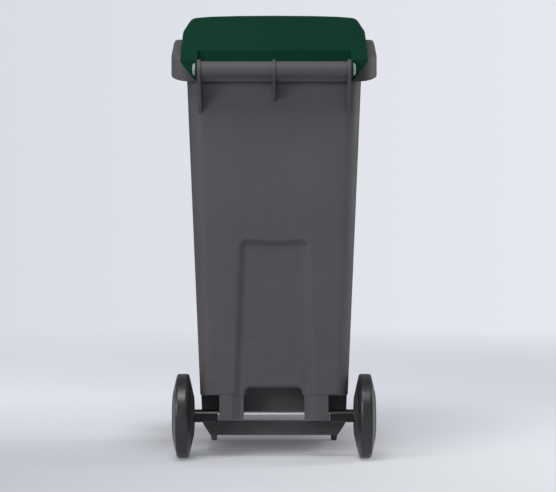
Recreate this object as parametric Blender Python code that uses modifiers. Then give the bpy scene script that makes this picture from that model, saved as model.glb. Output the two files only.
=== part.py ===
"""A 140-litre two-wheeled refuse bin, as the separate pieces it comes apart into.

Metres, +Z up, the bin's front towards -Y, the origin on the ground at the centre of its bounding box.
Left is the left hand of a person who stands behind the bin and holds its handle, so it is +X.
"""

import math

import bmesh
import bpy
from mathutils import Matrix, Vector

# Walls and clearances
WALL = 0.004
LID_WALL = 0.0035
SLACK = 0.0003

# Tub: its outer faces are straight lines in height, each given at the ground and per metre of height
SIDE_AT_GROUND, SIDE_DRAFT = 0.1702, 0.0412
REAR_AT_GROUND, REAR_DRAFT = 0.1865, 0.0142
FRONT_AT_GROUND, FRONT_DRAFT = -0.184, -0.056
CORNER_AT_GROUND, CORNER_DRAFT = 0.030, 0.010
CORNER_STEPS = 7
FLOOR_AT_STEP, FLOOR_SLOPE = 0.047, 0.12
FLOOR_THICKNESS = 0.005
BASE_CHAMFER_WIDTH, BASE_CHAMFER_HEIGHT = 0.018, 0.030
STEP_FRONT, STEP_CEILING = 0.110, 0.151
ARCH_TOP, ARCH_HALF_WIDTH, ARCH_FRONT = 0.167, 0.067, 0.1125

# Rim collar: level over most of its depth, then it falls towards the handle
RIM_TOP = 1.010
RIM_BEND = 0.055
RIM_FALL = 0.40
RIM_HALF_WIDTH, RIM_FRONT, RIM_REAR = 0.2446, -0.275, 0.204
RIM_RADIUS = 0.048
SKIRT_HEIGHT = 0.057
UPSTAND = 0.010
COMB_RIBS = (-0.15, -0.09, -0.03, 0.03, 0.09, 0.15)
SIDE_RIBS = (-0.17, -0.07, 0.03)
RIB = 0.003

# Handle and lid hinge, which share one axis
HINGE_Y, HINGE_Z = 0.2522, 0.9185
BAR_RADIUS, BAR_WALL = 0.0185, 0.0042
HANDLE_RIB_RADIUS = 0.0228
END_RIB_INNER, END_RIB_OUTER = 0.171, 0.179
MIDDLE_RIB = 0.003
END_RIB_FOOT, MIDDLE_RIB_FOOT = 0.817, 0.845
PIN_RADIUS, PIN_HEAD_RADIUS = 0.006, 0.014

# Rear panel recess, which widens downwards and runs on into the axle brackets
PANEL_TOP, PANEL_TOP_HALF, PANEL_BOTTOM_HALF = 0.523, 0.0825, 0.098
PANEL_DEPTH, PANEL_SIDE_RUN, PANEL_SAG, PANEL_CORNER = 0.010, 0.010, 0.004, 0.018
PANEL_OVERRUN = 0.022

# Lid. Each station across it: half width, share of the middle's height over the ledge, the same share at its
# rear edge, how far the corner draws in at the front and rear, and the height of its skirt's foot
LID_STATIONS = (
    (0.2180, 0.46, 0.96, 0.003, 0.9390),
    (0.2090, 0.66, 1.0, 0.0, 0.9270),
    (0.2000, 0.857, 1.0, 0.0, 0.925),
    (0.1910, 0.92, 1.0, 0.0, 0.925),
    (0.1550, 0.965, 1.0, 0.0, 0.925),
    (0.0900, 0.99, 1.0, 0.0, 0.925),
    (0.0, 1.0, 1.0, 0.0, 0.925),
)
LID_FRONT, LID_REAR, LID_TOP = -0.262, 0.2085, 1.0670
LID_SHOULDER, LID_SHOULDER_TOP, LID_REAR_TOP = 0.118, 1.0590, 0.970
LID_GAP = 0.003
ARM_INNER, ARM_OUTER = 0.1795, 0.2184
ARM_REAR, ARM_TIP = 0.2345, 0.896
EYE_RADIUS = 0.0208

# Axle, its brackets and sleeves
AXLE_Y, AXLE_Z, AXLE_RADIUS = 0.165, 0.100, 0.011
AXLE_END = 0.2370
BRACKET_INNER, BRACKET_OUTER = 0.072, 0.130
BRACKET_BOTTOM, BRACKET_CHEEK, BRACKET_SETBACK = 0.0925, 0.005, 0.0015
GROOVE_X, GROOVE_HALF, GROOVE_RADIUS = 0.212, 0.0042, 0.0088
SLEEVE_INNER_END, SLEEVE_OUTER_END, SLEEVE_RADIUS = 0.134, 0.1892, 0.0155

# Wheel: u runs outwards along the axle from the wheel's middle plane
WHEEL_X, WHEEL_RADIUS = 0.217, 0.100
TREAD_HALF = 0.0132
SIDEWALL_SLOPE = 0.25
TYRE_SEAT = 0.070
HUB_RADIUS, HUB_BORE = 0.0215, 0.0138
HUB_IN, HUB_OUT = -0.0250, 0.0170
SPOKES = 8
SPOKE_OUTLINE = (
    (0.0195, -0.0230),
    (0.0450, -0.0240),
    (0.0630, -0.0205),
    (0.0630, 0.0190),
    (0.0450, 0.0245),
    (0.0262, 0.0250),
    (0.0262, 0.0148),
    (0.0195, 0.0148),
)
BOSS_RADIUS, BOSS_END = 0.0075, 0.0450
LOCK_U = GROOVE_X - WHEEL_X

# Front feet and rim buffers
FOOT_FRONT, FOOT_REAR = -0.175, -0.150
BUFFER_X = 0.2172
BUFFER_Y = (-0.215, 0.020)

BODY_GREY = ((0.062, 0.058, 0.060, 1.0), 0.55, 0.0)
LID_GREEN = ((0.009, 0.045, 0.027, 1.0), 0.50, 0.0)
GALVANISED = ((0.55, 0.56, 0.57, 1.0), 0.35, 1.0)
SPRING_STEEL = ((0.45, 0.45, 0.46, 1.0), 0.30, 1.0)
RUBBER = ((0.030, 0.030, 0.032, 1.0), 0.80, 0.0)
WHEEL_PLASTIC = ((0.045, 0.045, 0.047, 1.0), 0.55, 0.0)
BLACK_PLASTIC = ((0.012, 0.012, 0.013, 1.0), 0.45, 0.0)
PIN_PLASTIC = ((0.36, 0.42, 0.38, 1.0), 0.50, 0.0)
NYLON = ((0.62, 0.61, 0.56, 1.0), 0.45, 0.0)

X_EDGEWISE = Matrix(((0, 0, 1), (1, 0, 0), (0, 1, 0))).to_4x4()
Y_EDGEWISE = Matrix(((1, 0, 0), (0, 0, -1), (0, 1, 0))).to_4x4()
FLAT = Matrix.Identity(4)


# ---------------------------------------------------------------- scene and materials
def start_scene():
    for obj in list(bpy.data.objects):
        bpy.data.objects.remove(obj)
    for name in ("wheelie_bin", "cutters"):
        bpy.context.scene.collection.children.link(bpy.data.collections.new(name))


def material(name, look):
    colour, roughness, metallic = look
    found = bpy.data.materials.get(name) or bpy.data.materials.new(name)
    found.use_nodes = True
    shader = found.node_tree.nodes["Principled BSDF"]
    shader.inputs["Base Color"].default_value = colour
    shader.inputs["Roughness"].default_value = roughness
    shader.inputs["Metallic"].default_value = metallic
    return found


def add_object(name, mesh, collection):
    obj = bpy.data.objects.new(name, mesh)
    bpy.data.collections[collection].objects.link(obj)
    return obj


def helper(name, mesh, joint=None):
    """A solid that only cuts or joins: it is drawn as wire and isn't a piece."""
    obj = add_object(name, mesh, "cutters")
    obj.hide_render = True
    obj.display_type = "WIRE"
    if joint:
        hang(obj, joint)
    return obj


def hang(obj, joint):
    """Parents an object made in the bin's own frame to a joint, without moving it."""
    obj.parent = joint
    obj.matrix_parent_inverse = joint.matrix_world.inverted()


def piece(name, mesh, look, look_name):
    obj = add_object(name, mesh, "wheelie_bin")
    mesh.materials.append(material(look_name, look))
    return obj


def combine(obj, operation, other):
    modifier = obj.modifiers.new(other.name, "BOOLEAN")
    modifier.operation = operation
    modifier.solver = "EXACT"
    modifier.object = other
    return obj


# ---------------------------------------------------------------- shapes
def loft(name, rings):
    """A closed solid through rings of equal point counts, capped at both ends."""
    bm = bmesh.new()
    rows = [[bm.verts.new(point) for point in ring] for ring in rings]
    count = len(rows[0])
    for low, high in zip(rows, rows[1:]):
        for i in range(count):
            j = (i + 1) % count
            bm.faces.new((low[i], low[j], high[j], high[i]))
    bm.faces.new(list(reversed(rows[0])))
    bm.faces.new(rows[-1])
    bmesh.ops.recalc_face_normals(bm, faces=bm.faces)
    mesh = bpy.data.meshes.new(name)
    bm.to_mesh(mesh)
    bm.free()
    return mesh


def box_mesh(name, boxes):
    """One mesh of separate boxes, each given by its low and high corners."""
    bm = bmesh.new()
    for low, high in boxes:
        low, high = Vector(low), Vector(high)
        size = high - low
        place = Matrix.Translation((low + high) / 2) @ Matrix.Diagonal((*size, 1))
        bmesh.ops.create_cube(bm, size=1, matrix=place)
    mesh = bpy.data.meshes.new(name)
    bm.to_mesh(mesh)
    bm.free()
    return mesh


def rod_mesh(name, rods, segments=24):
    """One mesh of round rods, each given by its two end points and its radius."""
    bm = bmesh.new()
    for start, end, radius in rods:
        start, end = Vector(start), Vector(end)
        along = end - start
        turn = along.to_track_quat("Z", "Y").to_matrix().to_4x4()
        place = Matrix.Translation((start + end) / 2) @ turn
        sizes = {"radius1": radius, "radius2": radius, "depth": along.length}
        bmesh.ops.create_cone(bm, cap_ends=True, segments=segments, matrix=place, **sizes)
    mesh = bpy.data.meshes.new(name)
    bm.to_mesh(mesh)
    bm.free()
    return mesh


def plate_mesh(name, outline, low, high, turn):
    """A flat outline given thickness from low to high along the third direction of turn."""
    curve = bpy.data.curves.new(name, "CURVE")
    curve.dimensions = "2D"
    curve.fill_mode = "BOTH"
    curve.extrude = (high - low) / 2
    spline = curve.splines.new("POLY")
    spline.points.add(len(outline) - 1)
    for point, (a, b) in zip(spline.points, outline):
        point.co = (a, b, 0, 1)
    spline.use_cyclic_u = True
    flat = bpy.data.objects.new(name, curve)
    bpy.context.scene.collection.objects.link(flat)
    flat.matrix_world = turn @ Matrix.Translation((0, 0, (low + high) / 2))
    bpy.context.view_layer.update()
    graph = bpy.context.evaluated_depsgraph_get()
    mesh = bpy.data.meshes.new_from_object(flat.evaluated_get(graph))
    mesh.transform(flat.matrix_world)
    bpy.data.objects.remove(flat)
    bm = bmesh.new()
    bm.from_mesh(mesh)
    bmesh.ops.remove_doubles(bm, verts=bm.verts, dist=1e-6)
    bmesh.ops.recalc_face_normals(bm, faces=bm.faces)
    bm.to_mesh(mesh)
    bm.free()
    return mesh


def turned(name, profile, look, look_name, steps=32):
    """A ring or a solid of revolution about its own Z axis, from a closed profile of (radius, height)."""
    mesh = bpy.data.meshes.new(name)
    points = [(radius, 0, height) for radius, height in profile]
    on_axis = profile[0][0] == 0 and profile[-1][0] == 0
    edges = [(i, i + 1) for i in range(len(points) - 1)]
    if not on_axis:
        edges.append((len(points) - 1, 0))
    mesh.from_pydata(points, edges, [])
    obj = piece(name, mesh, look, look_name)
    screw = obj.modifiers.new("turn", "SCREW")
    screw.axis = "Z"
    screw.steps = steps
    screw.render_steps = steps
    screw.use_merge_vertices = True
    screw.merge_threshold = 0.00001
    screw.use_smooth_shade = True
    return obj


def arc(centre, radius, start, end, steps):
    """Points on a circle from start to end, in degrees."""
    turns = [math.radians(start + (end - start) * i / steps) for i in range(steps + 1)]
    return [(centre[0] + radius * math.cos(t), centre[1] + radius * math.sin(t)) for t in turns]


def rounded_rectangle(half_width, front, rear, radius, steps=CORNER_STEPS):
    corners = (
        (half_width - radius, rear - radius, 0),
        (-half_width + radius, rear - radius, 90),
        (-half_width + radius, front + radius, 180),
        (half_width - radius, front + radius, 270),
    )
    return [p for x, y, turn in corners for p in arc((x, y), radius, turn, turn + 90, steps)]


# ---------------------------------------------------------------- tub
def side_wall(z):
    return SIDE_AT_GROUND + SIDE_DRAFT * z


def rear_wall(z):
    return REAR_AT_GROUND + REAR_DRAFT * z


def front_wall(z):
    return FRONT_AT_GROUND + FRONT_DRAFT * z


def floor_height(y):
    return FLOOR_AT_STEP + FLOOR_SLOPE * (y - STEP_FRONT)


def tub_ring(height, inset):
    """A ring of the tub's outline, inset from its outer face, where height(y) is z at depth y."""
    ring = []
    for i in range(4 * (CORNER_STEPS + 1)):
        y = 0.0
        for _ in range(4):
            z = height(y)
            radius = CORNER_AT_GROUND + CORNER_DRAFT * z - min(inset, WALL)
            half_width, front, rear = side_wall(z) - inset, front_wall(z) + inset, rear_wall(z) - inset
            x, y = rounded_rectangle(half_width, front, rear, radius)[i]
        ring.append((x, y, z))
    return ring


def tub_mesh(name, inset, floor):
    top = RIM_TOP + 0.04 + inset
    return loft(
        name,
        (
            tub_ring(lambda y: floor_height(y) + floor, BASE_CHAMFER_WIDTH + inset),
            tub_ring(lambda y: floor_height(y) + floor + BASE_CHAMFER_HEIGHT, inset),
            tub_ring(lambda y: top, inset),
        ),
    )


def panel_outline(grow):
    """The rear recess seen from behind, as (x, z), with rounded top corners and a top edge that sags."""
    radius = PANEL_CORNER
    top, bottom = PANEL_TOP + grow, BRACKET_BOTTOM - PANEL_OVERRUN
    half_top, half_bottom = PANEL_TOP_HALF + grow, PANEL_BOTTOM_HALF + grow
    right = arc((half_top - radius, top - radius), radius, 5, 90, 4)
    middle = [(half_top * s, top - PANEL_SAG * (1 - (s / 0.7) ** 2)) for s in (0.4, 0.0, -0.4)]
    left = [(-x, z) for x, z in reversed(right)]
    return [(half_bottom, bottom), *right, *middle, *left, (-half_bottom, bottom)]


def panel_cutter(name, depth, grow):
    """The recess as a solid whose sides lean outwards, from its own floor to well behind the rear wall."""
    behind = 0.020
    lean = PANEL_SIDE_RUN * 2 / PANEL_DEPTH
    inner = grow - PANEL_SIDE_RUN
    outer = inner + lean * (depth + behind)
    rings = []
    for back, spread in ((-depth, inner), (behind, outer)):
        rings.append([(x, rear_wall(z) + back, z) for x, z in panel_outline(spread)])
    return helper(name, loft(name, rings))


def arch_cutter(name, grow):
    outline = [(ARCH_HALF_WIDTH + grow, STEP_CEILING - 0.03)]
    outline += arc((ARCH_HALF_WIDTH - 0.012, ARCH_TOP - 0.010), 0.010 + grow, 0, 90, 4)
    outline += [(-x, z) for x, z in reversed(outline)]
    return helper(name, plate_mesh(name, outline, -0.3, -(ARCH_FRONT - grow), Y_EDGEWISE))


def step_cutter(name, grow):
    low = (-0.3, STEP_FRONT - grow, -0.1)
    high = (0.3, 0.3, STEP_CEILING + grow)
    return helper(name, box_mesh(name, [(low, high)]))


def cavity():
    """The tub's inside, with the wall's thickness left over the step, the arch and the rear recess."""
    inside = helper("tub_inside", tub_mesh("tub_inside", WALL, FLOOR_THICKNESS))
    combine(inside, "DIFFERENCE", step_cutter("step_inside", WALL))
    combine(inside, "DIFFERENCE", arch_cutter("arch_inside", WALL))
    combine(inside, "DIFFERENCE", panel_cutter("panel_inside", PANEL_DEPTH + WALL, WALL))
    return inside


# ---------------------------------------------------------------- rim collar
def rim_line(lift, far=0.30):
    """The ledge's line as (y, z), raised by lift."""
    return [
        (-far, RIM_TOP + lift),
        (RIM_BEND, RIM_TOP + lift),
        (far, RIM_TOP + lift - RIM_FALL * (far - RIM_BEND)),
    ]


def rim_height(y):
    return RIM_TOP - RIM_FALL * max(0.0, y - RIM_BEND)


def side_prism(name, outline, half_width=0.3):
    return helper(name, plate_mesh(name, outline, -half_width, half_width, X_EDGEWISE))


def collar():
    """The ledge round the mouth with its skirt, open underneath."""
    plan = rounded_rectangle(RIM_HALF_WIDTH, RIM_FRONT, RIM_REAR, RIM_RADIUS)
    made = helper("collar", plate_mesh("collar", plan, 0.80, 1.10, FLAT))
    band = side_prism("collar_band", rim_line(0) + list(reversed(rim_line(-SKIRT_HEIGHT))))
    combine(made, "INTERSECT", band)

    rear = RIM_REAR - 2 * WALL - 0.0005
    inner = rounded_rectangle(RIM_HALF_WIDTH - WALL, RIM_FRONT + WALL, rear, RIM_RADIUS - WALL)
    hollow = helper("collar_hollow", plate_mesh("collar_hollow", inner, 0.70, 1.10, FLAT))
    below = side_prism("collar_below", rim_line(-WALL) + [(0.30, 0.6), (-0.30, 0.6)])
    combine(hollow, "INTERSECT", below)
    combine(made, "DIFFERENCE", hollow)
    return made


def collar_ribs():
    """Ribs under the ledge: the front row takes the lifting comb, the side rows stiffen the skirt."""
    boxes = []
    for x in COMB_RIBS:
        low = (x - RIB / 2, RIM_FRONT + 0.0025, RIM_TOP - 0.026)
        boxes.append((low, (x + RIB / 2, -0.2385, RIM_TOP - 0.002)))
    for y in SIDE_RIBS:
        for side in (-1, 1):
            ends = sorted((side * 0.2055, side * (RIM_HALF_WIDTH - 0.002)))
            low = (ends[0], y - RIB / 2, RIM_TOP - 0.038)
            boxes.append((low, (ends[1], y + RIB / 2, RIM_TOP - 0.002)))
    return helper("collar_ribs", box_mesh("collar_ribs", boxes))


# ---------------------------------------------------------------- handle
def handle_bar():
    """A channel that is round behind and open towards the tub."""
    centre = (HINGE_Y, HINGE_Z)
    outer = arc(centre, BAR_RADIUS, -125, 125, 16)
    inner = arc(centre, BAR_RADIUS - BAR_WALL, 125, -125, 12)
    half = (END_RIB_INNER + END_RIB_OUTER) / 2
    return helper("handle_bar", plate_mesh("handle_bar", outer + inner, -half, half, X_EDGEWISE))


def handle_rib(name, low, high, foot):
    """A gusset from the rear wall that ends in a disc round the bar."""
    root = rear_wall(HINGE_Z) - 0.0025
    outline = arc((HINGE_Y, HINGE_Z), HANDLE_RIB_RADIUS, -52, 100, 14)
    outline += [(root, HINGE_Z + 0.001), (root, foot)]
    return helper(name, plate_mesh(name, outline, low, high, X_EDGEWISE))


# ---------------------------------------------------------------- axle brackets and feet
def bracket_boxes(cheek, bottom, rear_skin):
    """The two brackets' boxes, drawn in by cheek on the sides and by rear_skin behind."""
    boxes = []
    front = STEP_FRONT - 0.0025 + 2 * cheek
    rear = rear_wall(STEP_CEILING) - BRACKET_SETBACK - rear_skin
    top = STEP_CEILING + 0.0015 - 3 * cheek / 5
    for side in (-1, 1):
        ends = sorted((side * (BRACKET_INNER + cheek), side * (BRACKET_OUTER - cheek)))
        boxes.append(((ends[0], front, bottom), (ends[1], rear, top)))
    return boxes


def feet():
    """Two tapered feet under the tub's front, as (x, z) outlines."""
    made = []
    for side, hand in ((1, "left"), (-1, "right")):
        outline = [(side * x, z) for x, z in ((0.168, 0.045), (0.1605, 0.0), (0.1475, 0.0), (0.1415, 0.045))]
        mesh = plate_mesh(f"foot_{hand}", outline, -FOOT_REAR, -FOOT_FRONT, Y_EDGEWISE)
        made.append(helper(f"foot_{hand}", mesh))
    return made


def bin_body():
    body = piece("bin_body", tub_mesh("bin_body", 0.0, 0.0), BODY_GREY, "body_grey")
    combine(body, "DIFFERENCE", step_cutter("step", 0.0))
    combine(body, "DIFFERENCE", arch_cutter("arch", 0.0))
    combine(body, "UNION", collar())
    combine(body, "UNION", helper("brackets", box_mesh("brackets", bracket_boxes(0.0, BRACKET_BOTTOM, 0.0))))
    combine(body, "UNION", collar_ribs())
    for foot in feet():
        combine(body, "UNION", foot)
    combine(body, "DIFFERENCE", panel_cutter("panel", PANEL_DEPTH, 0.0))
    combine(body, "DIFFERENCE", cavity())
    combine(body, "UNION", handle_bar())
    combine(body, "UNION", handle_rib("rib_middle", -MIDDLE_RIB, MIDDLE_RIB, MIDDLE_RIB_FOOT))
    for side, name in ((1, "rib_left"), (-1, "rib_right")):
        low, high = sorted((side * END_RIB_INNER, side * END_RIB_OUTER))
        combine(body, "UNION", handle_rib(name, low, high, END_RIB_FOOT))

    above = [*rim_line(UPSTAND), (0.30, 1.2), (-0.30, 1.2)]
    combine(body, "DIFFERENCE", side_prism("mouth_trim", above))
    pockets = box_mesh("bracket_pockets", bracket_boxes(BRACKET_CHEEK, 0.0, PANEL_DEPTH + BRACKET_CHEEK))
    combine(body, "DIFFERENCE", helper("bracket_pockets", pockets))
    bores = [
        ((-0.15, AXLE_Y, AXLE_Z), (0.15, AXLE_Y, AXLE_Z), AXLE_RADIUS + SLACK),
        ((-0.20, HINGE_Y, HINGE_Z), (0.20, HINGE_Y, HINGE_Z), PIN_RADIUS + SLACK),
    ]
    combine(body, "DIFFERENCE", helper("cross_bores", rod_mesh("cross_bores", bores, 32)))
    holes = []
    for x, y in buffer_places():
        holes.append(((x, y, RIM_TOP - 0.02), (x, y, RIM_TOP + 0.004), 0.0025 + SLACK))
    combine(body, "DIFFERENCE", helper("buffer_holes", rod_mesh("buffer_holes", holes, 16)))
    return body


# ---------------------------------------------------------------- rim buffers
def buffer_places():
    return [(side * BUFFER_X, y) for side in (1, -1) for y in BUFFER_Y]


def rim_buffers():
    """Rubber studs pressed through the ledge, on which the closed lid's edge rests."""
    names = ("front_left", "middle_left", "front_right", "middle_right")
    top, under = RIM_TOP + 0.0026, RIM_TOP - WALL
    profile = [
        (0, top),
        (0.0038, top),
        (0.0048, RIM_TOP + 0.0018),
        (0.0048, RIM_TOP + SLACK),
        (0.0025, RIM_TOP + SLACK),
        (0.0025, under - SLACK),
        (0.0042, under - SLACK),
        (0.0020, under - 0.0055),
        (0, under - 0.0055),
    ]
    for (x, y), name in zip(buffer_places(), names):
        stud = turned(f"rim_buffer_{name}", profile, RUBBER, "rubber", 16)
        stud.location = (x, y, 0)


# ---------------------------------------------------------------- lid
def lid_foot(y):
    """Height of the lid's lower edge over the ledge."""
    return rim_height(y) + LID_GAP


def lid_slope(y):
    """Height of the lid's sloping rear top, carried on behind its rear edge."""
    return LID_REAR_TOP - (y - LID_REAR) * (LID_SHOULDER_TOP - LID_REAR_TOP) / (LID_REAR - LID_SHOULDER)


def lid_ring(x, share, rear_share, pull, skirt_foot, inset):
    """The lid's outline in side view at one station, as (x, y, z). An inset outline is the hollow inside it."""
    front, rear = LID_FRONT + pull + inset, LID_REAR - pull - inset
    lip = rear - (LID_WALL + 0.0004)
    tops = (
        (rear, LID_REAR_TOP - 0.4 * inset, rear_share),
        (LID_SHOULDER - 0.4 * inset, LID_SHOULDER_TOP - inset, share),
        (0.0, LID_TOP - inset, share),
        (-0.225 + 0.3 * inset, 1.0500 - inset, share),
        (front, 1.0280 - 0.7 * inset, share),
    )
    upper = [(y, lid_foot(y) + part * (z - lid_foot(y))) for y, z, part in tops]
    if inset:
        lower = [(front, 0.80), (RIM_BEND, 0.80), (rear, 0.80)]
        return [(x, y, z) for y, z in lower + upper]
    lower = [
        (front, lid_foot(front)),
        (RIM_BEND, lid_foot(RIM_BEND)),
        (lip, lid_foot(lip)),
        (lip, skirt_foot),
        (rear, skirt_foot),
    ]
    return [(x, y, z) for y, z in lower + upper]


def lid_mesh(name, inset):
    widest = LID_STATIONS[0][0]
    rings = [(x - inset * x / widest, *rest) for x, *rest in LID_STATIONS]
    rings += [(-x, *rest) for x, *rest in reversed(rings[:-1])]
    return loft(name, [lid_ring(*ring, inset) for ring in rings])


def lid_arm(side, hand, hinge):
    """A hollow arm that carries the lid's corner back to the hinge, with its lower edge cut away slantwise."""

    def prism(name, outline_from_side, outline_from_behind, rear):
        low, high = sorted((side * 0.165, side * 0.225))
        made = helper(name, plate_mesh(name, outline_from_side, low, high, X_EDGEWISE), hinge)
        outline = [(side * x, z) for x, z in outline_from_behind]
        trim = helper(f"{name}_trim", plate_mesh(f"{name}_trim", outline, -rear, -0.18, Y_EDGEWISE), hinge)
        return combine(made, "INTERSECT", trim)

    front = LID_REAR - 0.002
    from_side = [
        (front + 0.0070, ARM_TIP),
        (front, ARM_TIP + 0.0110),
        (front, lid_slope(front) - 0.0006),
        (ARM_REAR - 0.0045, lid_slope(ARM_REAR - 0.0045) - 0.0006),
        (ARM_REAR, lid_slope(ARM_REAR) - 0.0040),
        (ARM_REAR, ARM_TIP),
    ]
    from_behind = [
        (ARM_INNER, 0.87),
        (ARM_INNER, 1.00),
        (ARM_OUTER, 1.00),
        (ARM_OUTER, 0.9380),
        (0.1876, ARM_TIP),
        (0.1876, 0.87),
    ]
    arm = prism(f"arm_{hand}", from_side, from_behind, 0.26)

    wall = LID_WALL
    inside_from_side = [
        (front - 0.01, 0.87),
        (front - 0.01, lid_slope(front - 0.01) - 1.4 * wall),
        (ARM_REAR - wall, lid_slope(ARM_REAR - wall) - 1.4 * wall),
        (ARM_REAR - wall, 0.87),
    ]
    inside_from_behind = [
        (ARM_INNER + wall, 0.8957),
        (ARM_INNER + wall, 0.9965),
        (ARM_OUTER - wall, 0.9965),
        (ARM_OUTER - wall, 0.9392),
    ]
    return combine(arm, "DIFFERENCE", prism(f"arm_hollow_{hand}", inside_from_side, inside_from_behind, 0.26))


def lid_eye(side, hand, hinge):
    """The ear on an arm's inner cheek, which the hinge pin goes through."""
    outline = arc((HINGE_Y, HINGE_Z), EYE_RADIUS, -120, 75, 14) + [(0.2310, 0.9440), (0.2310, 0.9000)]
    low, high = sorted((side * (ARM_INNER + 0.0001), side * (ARM_INNER + 0.0037)))
    return helper(f"eye_{hand}", plate_mesh(f"eye_{hand}", outline, low, high, X_EDGEWISE), hinge)


def lid(hinge):
    made = piece("lid", lid_mesh("lid", 0.0), LID_GREEN, "lid_green")
    combine(made, "DIFFERENCE", helper("lid_inside", lid_mesh("lid_inside", LID_WALL), hinge))
    for side, hand in ((1, "left"), (-1, "right")):
        combine(made, "UNION", lid_arm(side, hand, hinge))
        combine(made, "UNION", lid_eye(side, hand, hinge))
    lip = [
        (RIM_FRONT, 1.0150),
        (RIM_FRONT, 1.0175),
        (LID_FRONT + 0.001, 1.0205),
        (LID_FRONT + 0.001, 1.0135),
    ]
    combine(made, "UNION", helper("lid_lip", plate_mesh("lid_lip", lip, -0.185, 0.185, X_EDGEWISE), hinge))
    bore = [((-0.20, HINGE_Y, HINGE_Z), (0.20, HINGE_Y, HINGE_Z), PIN_RADIUS + SLACK)]
    combine(made, "DIFFERENCE", helper("lid_bore", rod_mesh("lid_bore", bore, 32), hinge))
    hang(made, hinge)


def hinge_pins():
    """Headed pins pushed in from outside, through the lid's cheek into the handle's end rib."""
    head = ARM_INNER + 0.0042
    profile = [
        (0, head + 0.0066),
        (0.0060, head + 0.0064),
        (0.0110, head + 0.0054),
        (PIN_HEAD_RADIUS, head + 0.0030),
        (PIN_HEAD_RADIUS, head),
        (PIN_RADIUS, head),
        (PIN_RADIUS, 0.1560),
        (0.0045, 0.1520),
        (0, 0.1520),
    ]
    for side, hand in ((1, "left"), (-1, "right")):
        pin = turned(f"hinge_pin_{hand}", profile, PIN_PLASTIC, "pin_plastic", 32)
        pin.location = (0, HINGE_Y, HINGE_Z)
        pin.rotation_euler = (0, side * math.pi / 2, 0)


# ---------------------------------------------------------------- axle and sleeves
def axle():
    half = [
        (0, AXLE_END),
        (AXLE_RADIUS - 0.0015, AXLE_END),
        (AXLE_RADIUS, AXLE_END - 0.0015),
        (AXLE_RADIUS, GROOVE_X + GROOVE_HALF),
        (GROOVE_RADIUS, GROOVE_X + GROOVE_HALF),
        (GROOVE_RADIUS, GROOVE_X - GROOVE_HALF),
        (AXLE_RADIUS, GROOVE_X - GROOVE_HALF),
    ]
    rod = turned("axle", half + [(r, -u) for r, u in reversed(half)], GALVANISED, "galvanised", 24)
    rod.location = (0, AXLE_Y, AXLE_Z)
    rod.rotation_euler = (0, math.pi / 2, 0)
    for side, hand in ((1, "left"), (-1, "right")):
        bore = AXLE_RADIUS + SLACK
        profile = [
            (SLEEVE_RADIUS, SLEEVE_OUTER_END),
            (SLEEVE_RADIUS, SLEEVE_INNER_END),
            (bore, SLEEVE_INNER_END),
            (bore, SLEEVE_OUTER_END),
        ]
        sleeve = turned(f"axle_sleeve_{hand}", profile, BLACK_PLASTIC, "black_plastic", 24)
        sleeve.location = (0, AXLE_Y, AXLE_Z)
        sleeve.rotation_euler = (0, side * math.pi / 2, 0)


# ---------------------------------------------------------------- wheels
def sidewall(radius):
    """Half the wheel's width at a radius: both faces are shallow cones."""
    return TREAD_HALF + SIDEWALL_SLOPE * (WHEEL_RADIUS - radius)


def on_hub(obj, spin, side):
    """Turns a piece so that its own Z points outwards along the axle, and hangs it on the wheel."""
    obj.rotation_euler = (0, side * math.pi / 2, 0)
    obj.parent = spin


def tyre(spin, side, hand):
    seat, key = TYRE_SEAT + SLACK, 0.0655 + SLACK
    half = [
        (WHEEL_RADIUS, 0.0080),
        (WHEEL_RADIUS - 0.0006, TREAD_HALF),
        (WHEEL_RADIUS - 0.0040, sidewall(WHEEL_RADIUS - 0.0040)),
        (seat, sidewall(seat)),
        (seat, 0.0065),
        (key, 0.0050),
    ]
    upper, lower = half[3:], half[:3]
    outer = [(r, u) for r, u in reversed(lower)] + [(r, -u) for r, u in lower]
    inner = [(r, -u) for r, u in upper] + [(r, u) for r, u in reversed(upper)]
    made = turned(f"tyre_{hand}", outer + inner, RUBBER, "rubber", 48)
    on_hub(made, spin, side)


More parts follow.
